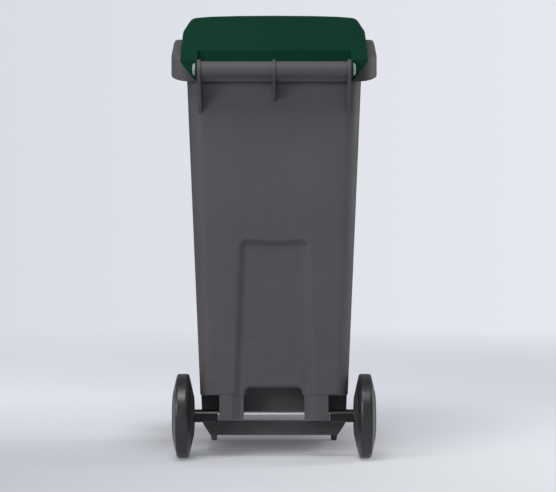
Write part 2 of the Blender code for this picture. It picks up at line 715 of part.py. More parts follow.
def rim(spin, side, hand):
    """Hub, dished inner face and outer ring in one, with spokes outside and a boss for the lock pin."""
    ring_in = 0.0610
    rim_half = sidewall(TYRE_SEAT) - 0.0004
    profile = [
        (TYRE_SEAT, rim_half),
        (TYRE_SEAT, 0.0068),
        (0.0655, 0.0053),
        (0.0655, -0.0053),
        (TYRE_SEAT, -0.0068),
        (TYRE_SEAT, -rim_half),
        (0.0460, -sidewall(0.0460) + 0.0006),
        (HUB_RADIUS, HUB_IN),
        (HUB_BORE, HUB_IN),
        (HUB_BORE, HUB_OUT),
        (HUB_RADIUS, HUB_OUT),
        (HUB_RADIUS, HUB_IN + 0.0038),
        (0.0450, -sidewall(0.0450) + 0.0046),
        (ring_in, -sidewall(ring_in) + 0.0042),
        (ring_in + 0.0005, rim_half),
    ]
    made = turned(f"wheel_rim_{hand}", profile, WHEEL_PLASTIC, "wheel_plastic", 48)
    for i in range(SPOKES):
        spoke = helper(f"spoke_{hand}_{i}", spoke_mesh(f"spoke_{hand}_{i}", math.pi * (2 * i + 1) / SPOKES))
        on_hub(spoke, spin, side)
        combine(made, "UNION", spoke)
    radial = lock_direction(side)
    centre = Vector((0, 0, LOCK_U))
    rods = (
        ("boss", "UNION", centre + radial * 0.0180, centre + radial * BOSS_END, BOSS_RADIUS, 24),
        ("lock_bore", "DIFFERENCE", centre + radial * 0.0180, centre + radial * 0.0500, 0.0045, 20),
        ("lock_seat", "DIFFERENCE", centre + radial * 0.0100, centre + radial * 0.0182, 0.0030 + SLACK, 20),
        ("hub_bore", "DIFFERENCE", Vector((0, 0, -0.03)), Vector((0, 0, 0.03)), HUB_BORE, 48),
    )
    for name, operation, start, end, radius, segments in rods:
        rod = helper(f"{name}_{hand}", rod_mesh(f"{name}_{hand}", [(start, end, radius)], segments))
        on_hub(rod, spin, side)
        combine(made, operation, rod)
    on_hub(made, spin, side)


def spoke_mesh(name, angle):
    """A flat radial rib on the wheel's outer side."""
    way = Vector((math.cos(angle), math.sin(angle), 0))
    across = Vector((-way.y, way.x, 0)) * 0.0019
    rings = []
    for side in (-1, 1):
        rings.append([way * r + across * side + Vector((0, 0, u)) for r, u in SPOKE_OUTLINE])
    return loft(name, rings)


def lock_direction(side):
    """Straight up, as seen by a piece whose own Z points outwards along the axle."""
    return Vector((-side, 0, 0))


def bushes(spin, side, hand):
    barrel, bore, flange = HUB_BORE - SLACK, AXLE_RADIUS + SLACK, 0.0170
    inner = [
        (flange, HUB_IN - SLACK),
        (flange, HUB_IN - 0.0022),
        (bore, HUB_IN - 0.0022),
        (bore, HUB_IN + 0.0120),
        (barrel, HUB_IN + 0.0120),
        (barrel, HUB_IN - SLACK),
    ]
    outer = [
        (flange, HUB_OUT + 0.0020),
        (flange, HUB_OUT + SLACK),
        (barrel, HUB_OUT + SLACK),
        (barrel, HUB_OUT - 0.0120),
        (bore, HUB_OUT - 0.0120),
        (bore, HUB_OUT + 0.0020),
    ]
    for name, profile in (("inner", inner), ("outer", outer)):
        on_hub(turned(f"hub_bush_{name}_{hand}", profile, NYLON, "nylon", 24), spin, side)


def hub_cap(spin, side, hand):
    """A domed cap whose skirt grips the outside of the hub."""
    skirt, grip = 0.0243, HUB_RADIUS + SLACK
    foot, top, roof = HUB_OUT - 0.0015, 0.0262, 0.0228
    profile = [
        (0, top),
        (0.0120, top - 0.0004),
        (0.0205, top - 0.0022),
        (skirt, roof - 0.0015),
        (skirt, foot),
        (grip, foot),
        (grip, roof - 0.0012),
        (0.0190, roof),
        (0, roof),
    ]
    on_hub(turned(f"hub_cap_{hand}", profile, BLACK_PLASTIC, "black_plastic", 32), spin, side)


def lock_pin(spin, side, hand):
    """The sprung pin whose tip stands in the axle's groove, its spring and the plug that holds the spring."""
    slide = empty(f"lock_slide_{hand}", (side * GROOVE_X, AXLE_Y, AXLE_Z))
    hang(slide, spin)
    pin = [
        (0, 0.0260),
        (0.0016, 0.0258),
        (0.0016, 0.0216),
        (0.0041, 0.0216),
        (0.0041, 0.0186),
        (0.0030, 0.0186),
        (0.0030, 0.0100),
        (0.0022, 0.0092),
        (0, 0.0092),
    ]
    made = turned(f"lock_pin_{hand}", pin, SPRING_STEEL, "spring_steel", 16)
    made.parent = slide

    plug = [
        (0, 0.0467),
        (0.0055, 0.0467),
        (0.0062, 0.0460),
        (0.0062, BOSS_END + SLACK),
        (0.0042, BOSS_END + SLACK),
        (0.0042, 0.0360),
        (0, 0.0360),
    ]
    stopper = turned(f"lock_plug_{hand}", plug, BLACK_PLASTIC, "black_plastic", 20)
    stopper.location = (side * LOCK_U, 0, 0)
    stopper.parent = spin

    turns, per_turn, radius, foot, top = 5, 12, 0.0032, 0.0224, 0.0352
    curve = bpy.data.curves.new(f"lock_spring_{hand}", "CURVE")
    curve.dimensions = "3D"
    curve.bevel_depth = 0.00038
    curve.bevel_resolution = 2
    curve.use_fill_caps = True
    spline = curve.splines.new("POLY")
    count = turns * per_turn
    spline.points.add(count)
    for i, point in enumerate(spline.points):
        angle = side * 2 * math.pi * i / per_turn
        z = foot + (top - foot) * i / count
        point.co = (radius * math.cos(angle), radius * math.sin(angle), z, 1)
    curve.materials.append(material("spring_steel", SPRING_STEEL))
    spring = add_object(f"lock_spring_{hand}", curve, "wheelie_bin")
    spring.location = (side * LOCK_U, 0, 0)
    spring.parent = spin


def empty(name, place):
    obj = add_object(name, None, "wheelie_bin")
    obj.location = place
    bpy.context.view_layer.update()
    return obj


def wheel(side, hand):
    spin = empty(f"wheel_spin_{hand}", (side * WHEEL_X, AXLE_Y, AXLE_Z))
    tyre(spin, side, hand)
    rim(spin, side, hand)
    bushes(spin, side, hand)
    hub_cap(spin, side, hand)
    lock_pin(spin, side, hand)


def main():
    start_scene()
    bin_body()
    rim_buffers()
    lid(empty("lid_hinge", (0, HINGE_Y, HINGE_Z)))
    hinge_pins()
    axle()
    wheel(1, "left")
    wheel(-1, "right")


main()
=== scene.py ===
"""The looks of a two-wheeled refuse bin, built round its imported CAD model.

Metres, +Z up, the bin's front towards -Y. Left is the left hand of a person who stands behind the bin, so it
is +X. The camera stands behind the bin and looks along -Y.
"""

import math

import bmesh
import bpy
import numpy as np
from mathutils import Matrix, Vector


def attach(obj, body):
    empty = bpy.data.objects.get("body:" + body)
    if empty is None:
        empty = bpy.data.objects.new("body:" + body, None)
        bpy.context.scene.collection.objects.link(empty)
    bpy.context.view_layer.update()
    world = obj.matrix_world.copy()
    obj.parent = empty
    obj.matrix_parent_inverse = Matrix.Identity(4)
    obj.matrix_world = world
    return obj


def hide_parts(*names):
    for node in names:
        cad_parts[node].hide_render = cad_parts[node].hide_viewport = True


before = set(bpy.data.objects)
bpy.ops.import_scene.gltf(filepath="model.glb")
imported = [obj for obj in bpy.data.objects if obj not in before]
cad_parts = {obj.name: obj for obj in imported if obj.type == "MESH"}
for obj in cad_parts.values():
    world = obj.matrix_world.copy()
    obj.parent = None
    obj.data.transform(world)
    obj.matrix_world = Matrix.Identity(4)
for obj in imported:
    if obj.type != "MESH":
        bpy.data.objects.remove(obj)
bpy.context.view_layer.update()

# Walls and clearances, as in the CAD model
WALL = 0.004
LID_WALL = 0.0035
SLACK = 0.0003

# Tub: outer faces are straight in height, each given at the ground and per metre of height
SIDE_AT_GROUND, SIDE_DRAFT = 0.1702, 0.0412
REAR_AT_GROUND, REAR_DRAFT = 0.1865, 0.0142
FRONT_AT_GROUND, FRONT_DRAFT = -0.184, -0.056
CORNER_AT_GROUND, CORNER_DRAFT = 0.030, 0.010
FLOOR_AT_STEP, FLOOR_SLOPE, FLOOR_THICKNESS = 0.047, 0.12, 0.005
BASE_CHAMFER_WIDTH, BASE_CHAMFER_HEIGHT = 0.018, 0.030
STEP_FRONT, STEP_CEILING = 0.110, 0.151
ARCH_TOP, ARCH_HALF_WIDTH, ARCH_FRONT = 0.167, 0.067, 0.1125
ARCH_FLARE, STEP_EDGE = 0.010, 0.005

# Rim collar
RIM_TOP, RIM_BEND, RIM_FALL = 1.010, 0.055, 0.40
RIM_HALF_WIDTH, RIM_FRONT, RIM_REAR = 0.2446, -0.275, 0.204
RIM_RADIUS, SKIRT_HEIGHT, UPSTAND = 0.048, 0.057, 0.010
RIM_EDGE = 0.0125
COMB_RIBS, COMB_RIB_REAR = (-0.15, -0.09, -0.03, 0.03, 0.09, 0.15), -0.2385
SIDE_RIBS, SIDE_RIB_INNER = (-0.17, -0.07, 0.03), 0.2055
RIB = 0.003

# Handle and lid hinge. The bar's wall runs for an angle to each side of its rearmost line, in degrees
HINGE_Y, HINGE_Z = 0.2522, 0.9185
BAR_RADIUS, BAR_WALL, BAR_ANGLE = 0.0185, 0.0042, 125
HANDLE_RIB_RADIUS = 0.0228
END_RIB_INNER, END_RIB_OUTER, MIDDLE_RIB = 0.171, 0.179, 0.003
END_RIB_FOOT, MIDDLE_RIB_FOOT = 0.817, 0.845
PIN_RADIUS, PIN_HEAD_RADIUS = 0.006, 0.014

# Rear panel recess
PANEL_TOP, PANEL_TOP_HALF, PANEL_BOTTOM_HALF = 0.524, 0.0850, 0.102
PANEL_DEPTH, PANEL_SIDE_RUN, PANEL_TOP_RUN, PANEL_SAG, PANEL_CORNER = 0.010, 0.020, 0.016, 0.004, 0.022
PANEL_FOOT = 0.0705

# Lid. Each station across it: distance from the middle, share of the middle's height over the ledge, the same
# at the rear, and the height of its skirt's foot
LID_HALF_WIDTH = 0.2180
LID_STATIONS = (
    (0.0, 1.0, 1.0, 0.925),
    (0.0900, 0.99, 1.0, 0.925),
    (0.1550, 0.965, 1.0, 0.925),
    (0.1910, 0.92, 1.0, 0.925),
    (0.2000, 0.857, 1.0, 0.925),
    (0.2090, 0.66, 1.0, 0.927),
    (LID_HALF_WIDTH, 0.46, 0.96, 0.939),
)
LID_RINGS = (0.03, 0.06, 0.09, 0.12, 0.15, 0.17, 0.176, 0.179, 0.182, 0.185)
LID_END_RINGS = (0.188, 0.191, 0.194, 0.1965, 0.199, 0.202, 0.205, 0.208, 0.2105, 0.213)
LID_FRONT, LID_REAR, LID_TOP = -0.262, 0.2085, 1.0670
LID_SHOULDER, LID_SHOULDER_TOP, LID_REAR_TOP = 0.118, 1.0590, 0.970
LID_BROW, LID_BROW_TOP, LID_FRONT_TOP = -0.225, 1.0500, 1.0280
LID_GAP = 0.003
LID_REAR_PULL, LID_FRONT_CORNER, LID_END_ROUND = 0.003, 0.020, 0.003
LID_FLARE = 0.0018
ARM_INNER, ARM_OUTER = 0.1795, 0.2184
ARM_REAR, ARM_TIP, ARM_TIP_OUTER, ARM_KNEE = 0.2345, 0.896, 0.1876, 0.9380
EYE_RADIUS, EYE_ROOT = 0.0208, 0.2310

# Axle, its brackets and sleeves
AXLE_Y, AXLE_Z, AXLE_RADIUS, AXLE_END = 0.165, 0.100, 0.011, 0.2370
BRACKET_INNER, BRACKET_OUTER = 0.072, 0.130
BRACKET_BOTTOM, BRACKET_TOP = 0.0925, STEP_CEILING + 0.0015
BRACKET_CHEEK, BRACKET_SETBACK, BRACKET_OVERLAP = 0.005, 0.0015, 0.0025
GROOVE_X, GROOVE_HALF, GROOVE_RADIUS = 0.212, 0.0042, 0.0088
SLEEVE_INNER_END, SLEEVE_OUTER_END, SLEEVE_RADIUS = 0.134, 0.1892, 0.0155

# Wheel: u runs outwards along the axle from the wheel's middle plane
WHEEL_X, WHEEL_RADIUS = 0.217, 0.100
TREAD_HALF, SIDEWALL_SLOPE = 0.0132, 0.25
TYRE_SEAT, TYRE_KEY, RING_INNER = 0.070, 0.0655, 0.0545
HUB_RADIUS, HUB_BORE, HUB_IN, HUB_OUT = 0.0215, 0.0138, -0.0250, 0.0170
SPOKES = 8
BOSS_RADIUS, BOSS_END = 0.0075, 0.0450
LOCK_U = GROOVE_X - WHEEL_X

FOOT_FRONT, FOOT_REAR = -0.175, -0.150
BUFFER_X = 0.2172
BUFFER_ROWS = {"front": -0.215, "middle": 0.020}

# CAD pieces that are shown as they are, and their slots
KEPT_NODES = {
    "hub_bush_inner": "nylon",
    "hub_bush_outer": "nylon",
    "lock_pin": "spring_steel",
    "lock_spring": "spring_steel",
    "lock_plug": "black_plastic",
}

# Camera, with its tilt in degrees and its lens and sensor in millimetres
CAMERA_PLACE, CAMERA_TILT, CAMERA_LENS = (0.0, 4.275, 0.58), 1.04, 111.7
CAMERA_SHIFT, SENSOR_WIDTH = 0.0071, 36

# Stage: the backdrop's colour runs across, and the floor's across and away from the camera, as painted shade
# that darkens the floor towards the bin's left, most of all near the camera
BACKDROP_LEFT, BACKDROP_RIGHT = (0.70, 0.723, 0.775, 1.0), (0.785, 0.805, 0.860, 1.0)
BACKDROP_RADIUS, FLOOR_RADIUS = 14.0, 9.0
FLOOR_LEFT_NEAR, FLOOR_LEFT_FAR = (0.37, 0.38, 0.415, 1.0), (0.80, 0.82, 0.88, 1.0)
FLOOR_RIGHT_NEAR, FLOOR_RIGHT_FAR = (0.64, 0.65, 0.675, 1.0), (0.60, 0.615, 0.66, 1.0)
FLOOR_FAR_TO_NEAR, FLOOR_RIGHT_TO_LEFT = (-1.2, 0.5), (-0.9, 0.9)
FLOOR_FADE, FLOOR_GLOW, BACKDROP_RIGHT_TO_LEFT = (0.8, 4.5), 0.32, (-2.8, 2.8)

# A soft shadow painted under the bin, with its middle and half its size each way
SHADOW_ACROSS, SHADOW_ALONG, SHADOW_SOFTNESS = (0.05, 0.25), (-0.26, 0.26), 0.34
SHADOW_DEPTH, SHADOW_COLOUR = 0.8, (0.20, 0.20, 0.205, 1.0)

WORLD_STRENGTH, WORLD_COLOUR = 0.34, (0.94, 0.96, 1.0, 1.0)
LIGHTS = (
    ("key", (2.0, 2.4, 1.5), (0.0, 0.1, 0.6), (1.3, 1.3), 38.0),
    ("above", (0.4, 1.7, 3.3), (0.0, 0.1, 0.6), (1.3, 1.3), 50.0),
    ("right", (-2.6, -0.4, 1.2), (0.0, 0.1, 0.5), (0.9, 2.0), 34.0),
)

# Edges sharper than this, in degrees, stay sharp
SHARP_ANGLE = 32
X_EDGEWISE = Matrix(((0, 0, 1), (1, 0, 0), (0, 1, 0))).to_4x4()
Y_EDGEWISE = Matrix(((1, 0, 0), (0, 0, -1), (0, 1, 0))).to_4x4()
SIDES = ((1, "left"), (-1, "right"))


# ---- outlines
def rounded(outline, steps=6, closed=True):
    """Points of an outline whose corners are given as (a, b, radius)."""
    count = len(outline)
    points = []
    for i, (a, b, radius) in enumerate(outline):
        at_end = not closed and i in (0, count - 1)
        here = Vector((a, b))
        if at_end or radius == 0:
            points.append((a, b))
            continue
        back = Vector(outline[i - 1][:2]) - here
        ahead = Vector(outline[(i + 1) % count][:2]) - here
        angle = back.angle(ahead)
        reach = min(radius / math.tan(angle / 2), 0.46 * back.length, 0.46 * ahead.length)
        radius = reach * math.tan(angle / 2)
        centre = here + (back.normalized() + ahead.normalized()).normalized() * radius / math.sin(angle / 2)
        start = here + back.normalized() * reach - centre
        end = here + ahead.normalized() * reach - centre
        first = math.degrees(math.atan2(start.y, start.x))
        sweep = (math.degrees(math.atan2(end.y, end.x)) - first + 180) % 360 - 180
        points += arc(centre, radius, first, first + sweep, steps)
    return points


def arc(centre, radius, start, end, steps):
    """Points on a circle from start to end, in degrees."""
    turns = [math.radians(start + (end - start) * i / steps) for i in range(steps + 1)]
    return [(centre[0] + radius * math.cos(t), centre[1] + radius * math.sin(t)) for t in turns]


def plain(points):
    """The same points as corners without rounding."""
    return [(a, b, 0) for a, b in points]


def span(side, near, far):
    """The lower and the higher X of a stretch between two distances from the middle."""
    return sorted((side * near, side * far))


# ---- meshes
def new_object(name, data):
    obj = bpy.data.objects.new(name, data)
    bpy.context.scene.collection.objects.link(obj)
    return obj


def mesh_object(name, bm):
    """Turns a finished bmesh into an object of the scene."""
    mesh = bpy.data.meshes.new(name)
    bm.to_mesh(mesh)
    bm.free()
    return new_object(name, mesh)


def face_outwards(bm):
    bmesh.ops.recalc_face_normals(bm, faces=bm.faces)
    if bm.calc_volume(signed=True) < 0:
        bmesh.ops.reverse_faces(bm, faces=bm.faces)


def solid(name, vertices, faces):
    """A closed mesh whose faces are turned to look outwards."""
    bm = bmesh.new()
    made = [bm.verts.new(point) for point in vertices]
    for face in faces:
        bm.faces.new([made[i] for i in face])
    bmesh.ops.remove_doubles(bm, verts=bm.verts, dist=1e-6)
    face_outwards(bm)
    return mesh_object(name, bm)


def newell_area(points):
    """The area of a nearly flat polygon."""
    points = [Vector(point) for point in points]
    total = Vector()
    for here, ahead in zip(points, points[1:] + points[:1]):
        total += here.cross(ahead)
    return total.length / 2


def cap_strips(ring):
    """Faces across a symmetric ring. A strip without an area of its own is joined to its neighbour."""
    count = len(ring)
    cuts = [0]
    for i in range(1, count // 2 + 1):
        if newell_area([ring[k] for k in strip(cuts[-1], i, count)]) > 1e-6:
            cuts.append(i)
    cuts[-1] = count // 2
    return [strip(low, high, count) for low, high in zip(cuts, cuts[1:])]


def strip(low, high, count):
    """A face across a symmetric ring, from its points low to high and the same ones on the other side."""
    near = list(range(low, high + 1))
    return list(dict.fromkeys(near + [(count - k) % count for k in reversed(near)]))


def loft(name, rings, mirrored=False):
    """A closed solid through rings of equal point counts.

    Mirrored rings start at the rear's middle and are symmetric in X, and their caps run across in strips.
    """
    count = len(rings[0])
    vertices = [tuple(point) for ring in rings for point in ring]
    faces = []
    for k in range(len(rings) - 1):
        for i in range(count):
            j = (i + 1) % count
            faces.append((k * count + i, k * count + j, (k + 1) * count + j, (k + 1) * count + i))
    for first in (0, (len(rings) - 1) * count):
        ring = vertices[first : first + count]
        for face in cap_strips(ring) if mirrored else [range(count)]:
            faces.append([first + k for k in face])
    return solid(name, vertices, faces)


def prism(name, outline, low, high, turn, bevel=0.0):
    """A flat outline given thickness from low to high along turn's third direction, with bevelled ends."""
    bm = bmesh.new()
    base = bm.faces.new([bm.verts.new((a, b, low)) for a, b in outline])
    grown = bmesh.ops.extrude_face_region(bm, geom=[base])
    top = [item for item in grown["geom"] if isinstance(item, bmesh.types.BMVert)]
    bmesh.ops.translate(bm, verts=top, vec=(0, 0, high - low))
    bmesh.ops.recalc_face_normals(bm, faces=bm.faces)
    if bevel:
        rims = [e for e in bm.edges if abs(e.verts[0].co.z - e.verts[1].co.z) < 1e-9]
        settings = {"segments": 3, "profile": 0.5, "affect": "EDGES", "clamp_overlap": True}
        bmesh.ops.bevel(bm, geom=rims, offset=bevel, **settings)
    bm.transform(turn)
    face_outwards(bm)
    return mesh_object(name, bm)


def boxes(name, corners, bevel):
    """Separate bevelled boxes in one object, each given by its low and high corners."""
    bm = bmesh.new()
    for low, high in corners:
        low, high = Vector(low), Vector(high)
        place = Matrix.Translation((low + high) / 2) @ Matrix.Diagonal((*(high - low), 1))
        bmesh.ops.create_cube(bm, size=1, matrix=place)
    bmesh.ops.bevel(bm, geom=bm.edges, offset=bevel, segments=2, profile=0.5, affect="EDGES")
    return mesh_object(name, bm)


def rods(name, parts, segments=48):
    """Separate round rods in one object, each given by its two end points and its radius."""
    bm = bmesh.new()
    for start, end, radius in parts:
        start, end = Vector(start), Vector(end)
        along = end - start
        place = Matrix.Translation((start + end) / 2) @ along.to_track_quat("Z", "Y").to_matrix().to_4x4()
        sizes = {"radius1": radius, "radius2": radius, "depth": along.length}
        bmesh.ops.create_cone(bm, cap_ends=True, segments=segments, matrix=place, **sizes)
    return mesh_object(name, bm)


def lathe(name, profile, steps=96):
    """A solid of revolution about Z. The profile is a closed loop of (radius, height) points."""
    vertices = []
    faces = []
    count = len(profile)
    for k in range(steps):
        turn = 2 * math.pi * k / steps
        vertices += [(r * math.cos(turn), r * math.sin(turn), h) for r, h in profile]
        here, ahead = k * count, (k + 1) % steps * count
        for i in range(count):
            j = (i + 1) % count
            if max(profile[i][0], profile[j][0]) > 0:
                faces.append((here + i, here + j, ahead + j, ahead + i))
    return solid(name, vertices, faces)


def along_x(obj, side, place):
    """Turns a piece made about Z so that Z points outwards along X on its side, and puts it in place."""
    obj.data.transform(Matrix.Translation(place) @ Matrix.Rotation(side * math.pi / 2, 4, "Y"))
    return obj


def combine(obj, operation, other):
    """Cuts or joins other into obj at once, and removes other."""
    modifier = obj.modifiers.new("combine", "BOOLEAN")
    modifier.operation = operation
    modifier.solver = "EXACT"
    modifier.object = other
    freeze(obj)
    bpy.data.objects.remove(other)
    return obj


def join(obj, other):
    return combine(obj, "UNION", other)


def cut(obj, other):
    return combine(obj, "DIFFERENCE", other)


def freeze(obj):
    """Applies all modifiers to the mesh."""
    bpy.context.view_layer.update()
    graph = bpy.context.evaluated_depsgraph_get()
    mesh = bpy.data.meshes.new_from_object(obj.evaluated_get(graph))
    obj.modifiers.clear()
    old = obj.data
    obj.data = mesh
    bpy.data.meshes.remove(old)


def smooth(obj):
    """Smooth shading across shallow edges, with flat faces kept flat by weighting."""
    bm = bmesh.new()
    bm.from_mesh(obj.data)
    bmesh.ops.remove_doubles(bm, verts=bm.verts, dist=2e-6)
    bmesh.ops.dissolve_degenerate(bm, edges=bm.edges, dist=2e-6)
    bm.to_mesh(obj.data)
    bm.free()
    obj.data.shade_smooth()
    obj.data.set_sharp_from_angle(angle=math.radians(SHARP_ANGLE))
    weighted = obj.modifiers.new("weighted", "WEIGHTED_NORMAL")
    weighted.keep_sharp = True


def dress(obj, body, slot, *replaced):
    """Smooths a finished piece and gives it its material and its place in the frame."""
    smooth(obj)
    obj.data.materials.append(LOOKS[slot])
    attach(obj, body)
    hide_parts(*replaced)


# ---- materials
LOOKS = {}


def connect(tree, node, inputs):
    """Sets a node's inputs, each to a plain value or to another node's output."""
    for name, value in inputs.items():
        if isinstance(value, bpy.types.NodeSocket):
            tree.links.new(value, node.inputs[name])
        else:
            node.inputs[name].default_value = value


def add(tree, kind, inputs, **settings):
    node = tree.nodes.new(kind)
    for name, value in settings.items():
        setattr(node, name, value)
    connect(tree, node, inputs)
    return node


def start_material(name):
    """Starts the material kept under a name. Returns its tree, its shader and the object's coordinates."""
    LOOKS[name] = bpy.data.materials.new(name)
    LOOKS[name].use_nodes = True
    tree = LOOKS[name].node_tree
    return tree, tree.nodes["Principled BSDF"], add(tree, "ShaderNodeTexCoord", {}).outputs["Object"]


def split(tree, place):
    """The X, Y and Z outputs of a place."""
    return add(tree, "ShaderNodeSeparateXYZ", {"Vector": place}).outputs


def noise(tree, place, scale, detail=3.0, stretch=None):
    """A noise value between 0 and 1 at a scale in waves per metre."""
    if stretch:
        place = add(tree, "ShaderNodeMapping", {"Vector": place, "Scale": stretch}).outputs["Vector"]
    inputs = {"Vector": place, "Scale": scale, "Detail": detail}
    return add(tree, "ShaderNodeTexNoise", inputs).outputs["Fac"]


def spread(tree, value, low, high, to_low=0.0, to_high=1.0, ease="LINEAR"):
    """Maps value from low..high onto to_low..to_high, held at both ends."""
    inputs = {"Value": value, "From Min": low, "From Max": high, "To Min": to_low, "To Max": to_high}
    return add(tree, "ShaderNodeMapRange", inputs, interpolation_type=ease).outputs["Result"]


def calculate(tree, operation, *values):
    return add(tree, "ShaderNodeMath", dict(enumerate(values)), operation=operation).outputs[0]


def blend_colour(tree, factor, first, second):
    """A mix of two colours, which are inputs 6 and 7 of the mix node."""
    return add(tree, "ShaderNodeMix", {0: factor, 6: first, 7: second}, data_type="RGBA").outputs[2]


def shade(colour, factor):
    return (*[min(1.0, c * factor) for c in colour[:3]], 1.0)


def cloudy(tree, value, colour, darkest, lightest, low=0.3, high=0.7):
    """A colour that is darker where value is low and lighter where it is high."""
    share = spread(tree, value, low, high)
    return blend_colour(tree, share, shade(colour, darkest), shade(colour, lightest))


def bumpy(tree, height, strength, depth, **over):
    """A surface normal roughened by a height, over another one where it is given."""
    inputs = {"Height": height, "Strength": strength, "Distance": depth, **over}
    return add(tree, "ShaderNodeBump", inputs).outputs["Normal"]


def moulded_plastic(name, colour, roughness, grain=0.10, dust=0.10, wear=0.5, shine=0.25):
    """Injection-moulded plastic: fine grain, cloudy colour, faint flow lines, scuffs and dust low down."""
    tree, shader, place = start_material(name)
    tint = cloudy(tree, noise(tree, place, 5.0, 4.0), colour, 0.93, 1.07)
    flow = noise(tree, place, 9.0, 2.0, stretch=(6.0, 6.0, 0.5))
    tint = blend_colour(tree, spread(tree, flow, 0.45, 0.75, 0.0, 0.25), tint, shade(colour, 1.20))
    scratches = noise(tree, place, 26.0, 8.0, stretch=(1.0, 1.0, 7.0))
    tint = blend_colour(tree, spread(tree, scratches, 0.66, 0.80, 0.0, 0.5 * wear), tint, shade(colour, 1.9))
    low_down = spread(tree, split(tree, place)["Z"], 0.0, 0.45, dust, 0.0)
    patches = spread(tree, noise(tree, place, 40.0, 6.0), 0.35, 0.65)
    tint = blend_colour(tree, calculate(tree, "MULTIPLY", low_down, patches), tint, (0.30, 0.28, 0.25, 1.0))
    uneven = noise(tree, place, 18.0, 5.0)
    grained = bumpy(tree, noise(tree, place, 1100.0, 2.0), grain, 0.0004)
    connect(tree, shader, {
        "Base Color": tint,
        "Roughness": spread(tree, uneven, 0.25, 0.75, roughness - 0.06, roughness + 0.09),
        "Specular IOR Level": shine,
        "Normal": bumpy(tree, noise(tree, place, 14.0, 2.0), 0.10, 0.004, Normal=grained),
    })


def rubber(name, colour):
    """Matt rubber with a pitted surface and pale dust in patches."""
    tree, shader, place = start_material(name)
    patches = spread(tree, noise(tree, place, 22.0, 6.0), 0.40, 0.72, 0.0, 0.55)
    tint = blend_colour(tree, patches, colour, shade(colour, 1.8))
    specks = spread(tree, noise(tree, place, 260.0, 2.0), 0.66, 0.80, 0.0, 0.10)
    connect(tree, shader, {
        "Base Color": blend_colour(tree, specks, tint, (0.20, 0.19, 0.18, 1.0)),
        "Roughness": spread(tree, patches, 0.0, 0.55, 0.32, 0.44),
        "Normal": bumpy(tree, noise(tree, place, 700.0, 4.0), 0.12, 0.0004),
    })


def galvanised(name, colour):
    """Zinc-coated steel: faint crystal spangle, soft sheen and fine drawn lines round the bar."""
    tree, shader, place = start_material(name)
    spangle = add(tree, "ShaderNodeTexVoronoi", {"Vector": place, "Scale": 160.0}).outputs["Color"]
    grey = add(tree, "ShaderNodeRGBToBW", {"Color": spangle}).outputs["Val"]
    tint = cloudy(tree, grey, colour, 0.95, 1.04, 0.2, 0.8)
    white_rust = spread(tree, noise(tree, place, 30.0, 6.0), 0.62, 0.80, 0.0, 0.15)
    connect(tree, shader, {
        "Base Color": blend_colour(tree, white_rust, tint, (0.62, 0.62, 0.60, 1.0)),
        "Metallic": 0.9,
        "Roughness": spread(tree, grey, 0.0, 1.0, 0.44, 0.50),
        "Normal": bumpy(tree, noise(tree, place, 60.0, 2.0, stretch=(8.0, 1.0, 1.0)), 0.04, 0.0002),
    })


def sprung_steel(name, colour):
    """Bright drawn wire with a trace of oil."""
    tree, shader, place = start_material(name)
    streaks = noise(tree, place, 500.0)
    connect(tree, shader, {
        "Base Color": cloudy(tree, streaks, colour, 0.75, 1.15),
        "Metallic": 1.0,
        "Roughness": spread(tree, streaks, 0.2, 0.8, 0.22, 0.40),
        "Normal": bumpy(tree, streaks, 0.12, 0.0002),
    })


def nylon(name, colour):
    """Dark nylon that light enters a little."""
    tree, shader, place = start_material(name)
    clouds = noise(tree, place, 60.0)
    connect(tree, shader, {
        "Base Color": cloudy(tree, clouds, colour, 0.92, 1.05),
        "Roughness": spread(tree, clouds, 0.2, 0.8, 0.34, 0.50),
        "Subsurface Weight": 0.08,
        "Subsurface Radius": (0.002, 0.002, 0.002),
        "Normal": bumpy(tree, noise(tree, place, 900.0, 2.0), 0.10, 0.0002),
    })


def make_looks():
    """One material for each of the record's slots."""
    moulded_plastic("body_grey", (0.078, 0.073, 0.079, 1.0), 0.58, 0.08, 0.05)
    moulded_plastic("lid_green", (0.0030, 0.0330, 0.0190, 1.0), 0.60, 0.08, 0.0, 0.3, 0.05)
    moulded_plastic("pin_plastic", (0.28, 0.33, 0.30, 1.0), 0.45, 0.06, 0.0, 0.3)
    moulded_plastic("wheel_plastic", (0.036, 0.036, 0.038, 1.0), 0.55, 0.12, 0.08)
    moulded_plastic("black_plastic", (0.007, 0.007, 0.008, 1.0), 0.24, 0.05, 0.03)
    rubber("rubber", (0.020, 0.020, 0.021, 1.0))
    rubber("tyre", (0.017, 0.017, 0.019, 1.0))
    galvanised("galvanised", (0.30, 0.305, 0.315, 1.0))
    sprung_steel("spring_steel", (0.45, 0.45, 0.46, 1.0))
    nylon("nylon", (0.045, 0.045, 0.047, 1.0))


# ---- tub shell
REAR_COLUMNS, CORNER_STEPS, SIDE_STEPS, FRONT_STEPS = 21, 10, 8, 6


def ring_template():
    """A ring that starts at the rear's middle: across, rearwards, outward x and outward y of each point."""
    half = [(k / (REAR_COLUMNS + 1), 1, 0, 1) for k in range(REAR_COLUMNS + 1)]
    half += [(1, 1, *turned) for turned in arc((0, 0), 1, 90, 0, CORNER_STEPS)]
    half += [(1, 1 - k / SIDE_STEPS, 1, 0) for k in range(1, SIDE_STEPS)]
    half += [(1, 0, *turned) for turned in arc((0, 0), 1, 0, -90, CORNER_STEPS)]
    half += [(1 - k / FRONT_STEPS, 0, 0, -1) for k in range(1, FRONT_STEPS + 1)]
    other = [(-across, rearwards, -x, y) for across, rearwards, x, y in reversed(half[1:-1])]
    return np.array(half + other, float).T


ACROSS, REARWARDS, OUT_X, OUT_Y = ring_template()


def plan(half_width, front, rear, radius):
    """A rounded rectangle's points, one for each of the template's."""
    x = ACROSS * (half_width - radius) + radius * OUT_X
    y = REARWARDS * (rear - radius) + (1 - REARWARDS) * (front + radius) + radius * OUT_Y
    return x, y


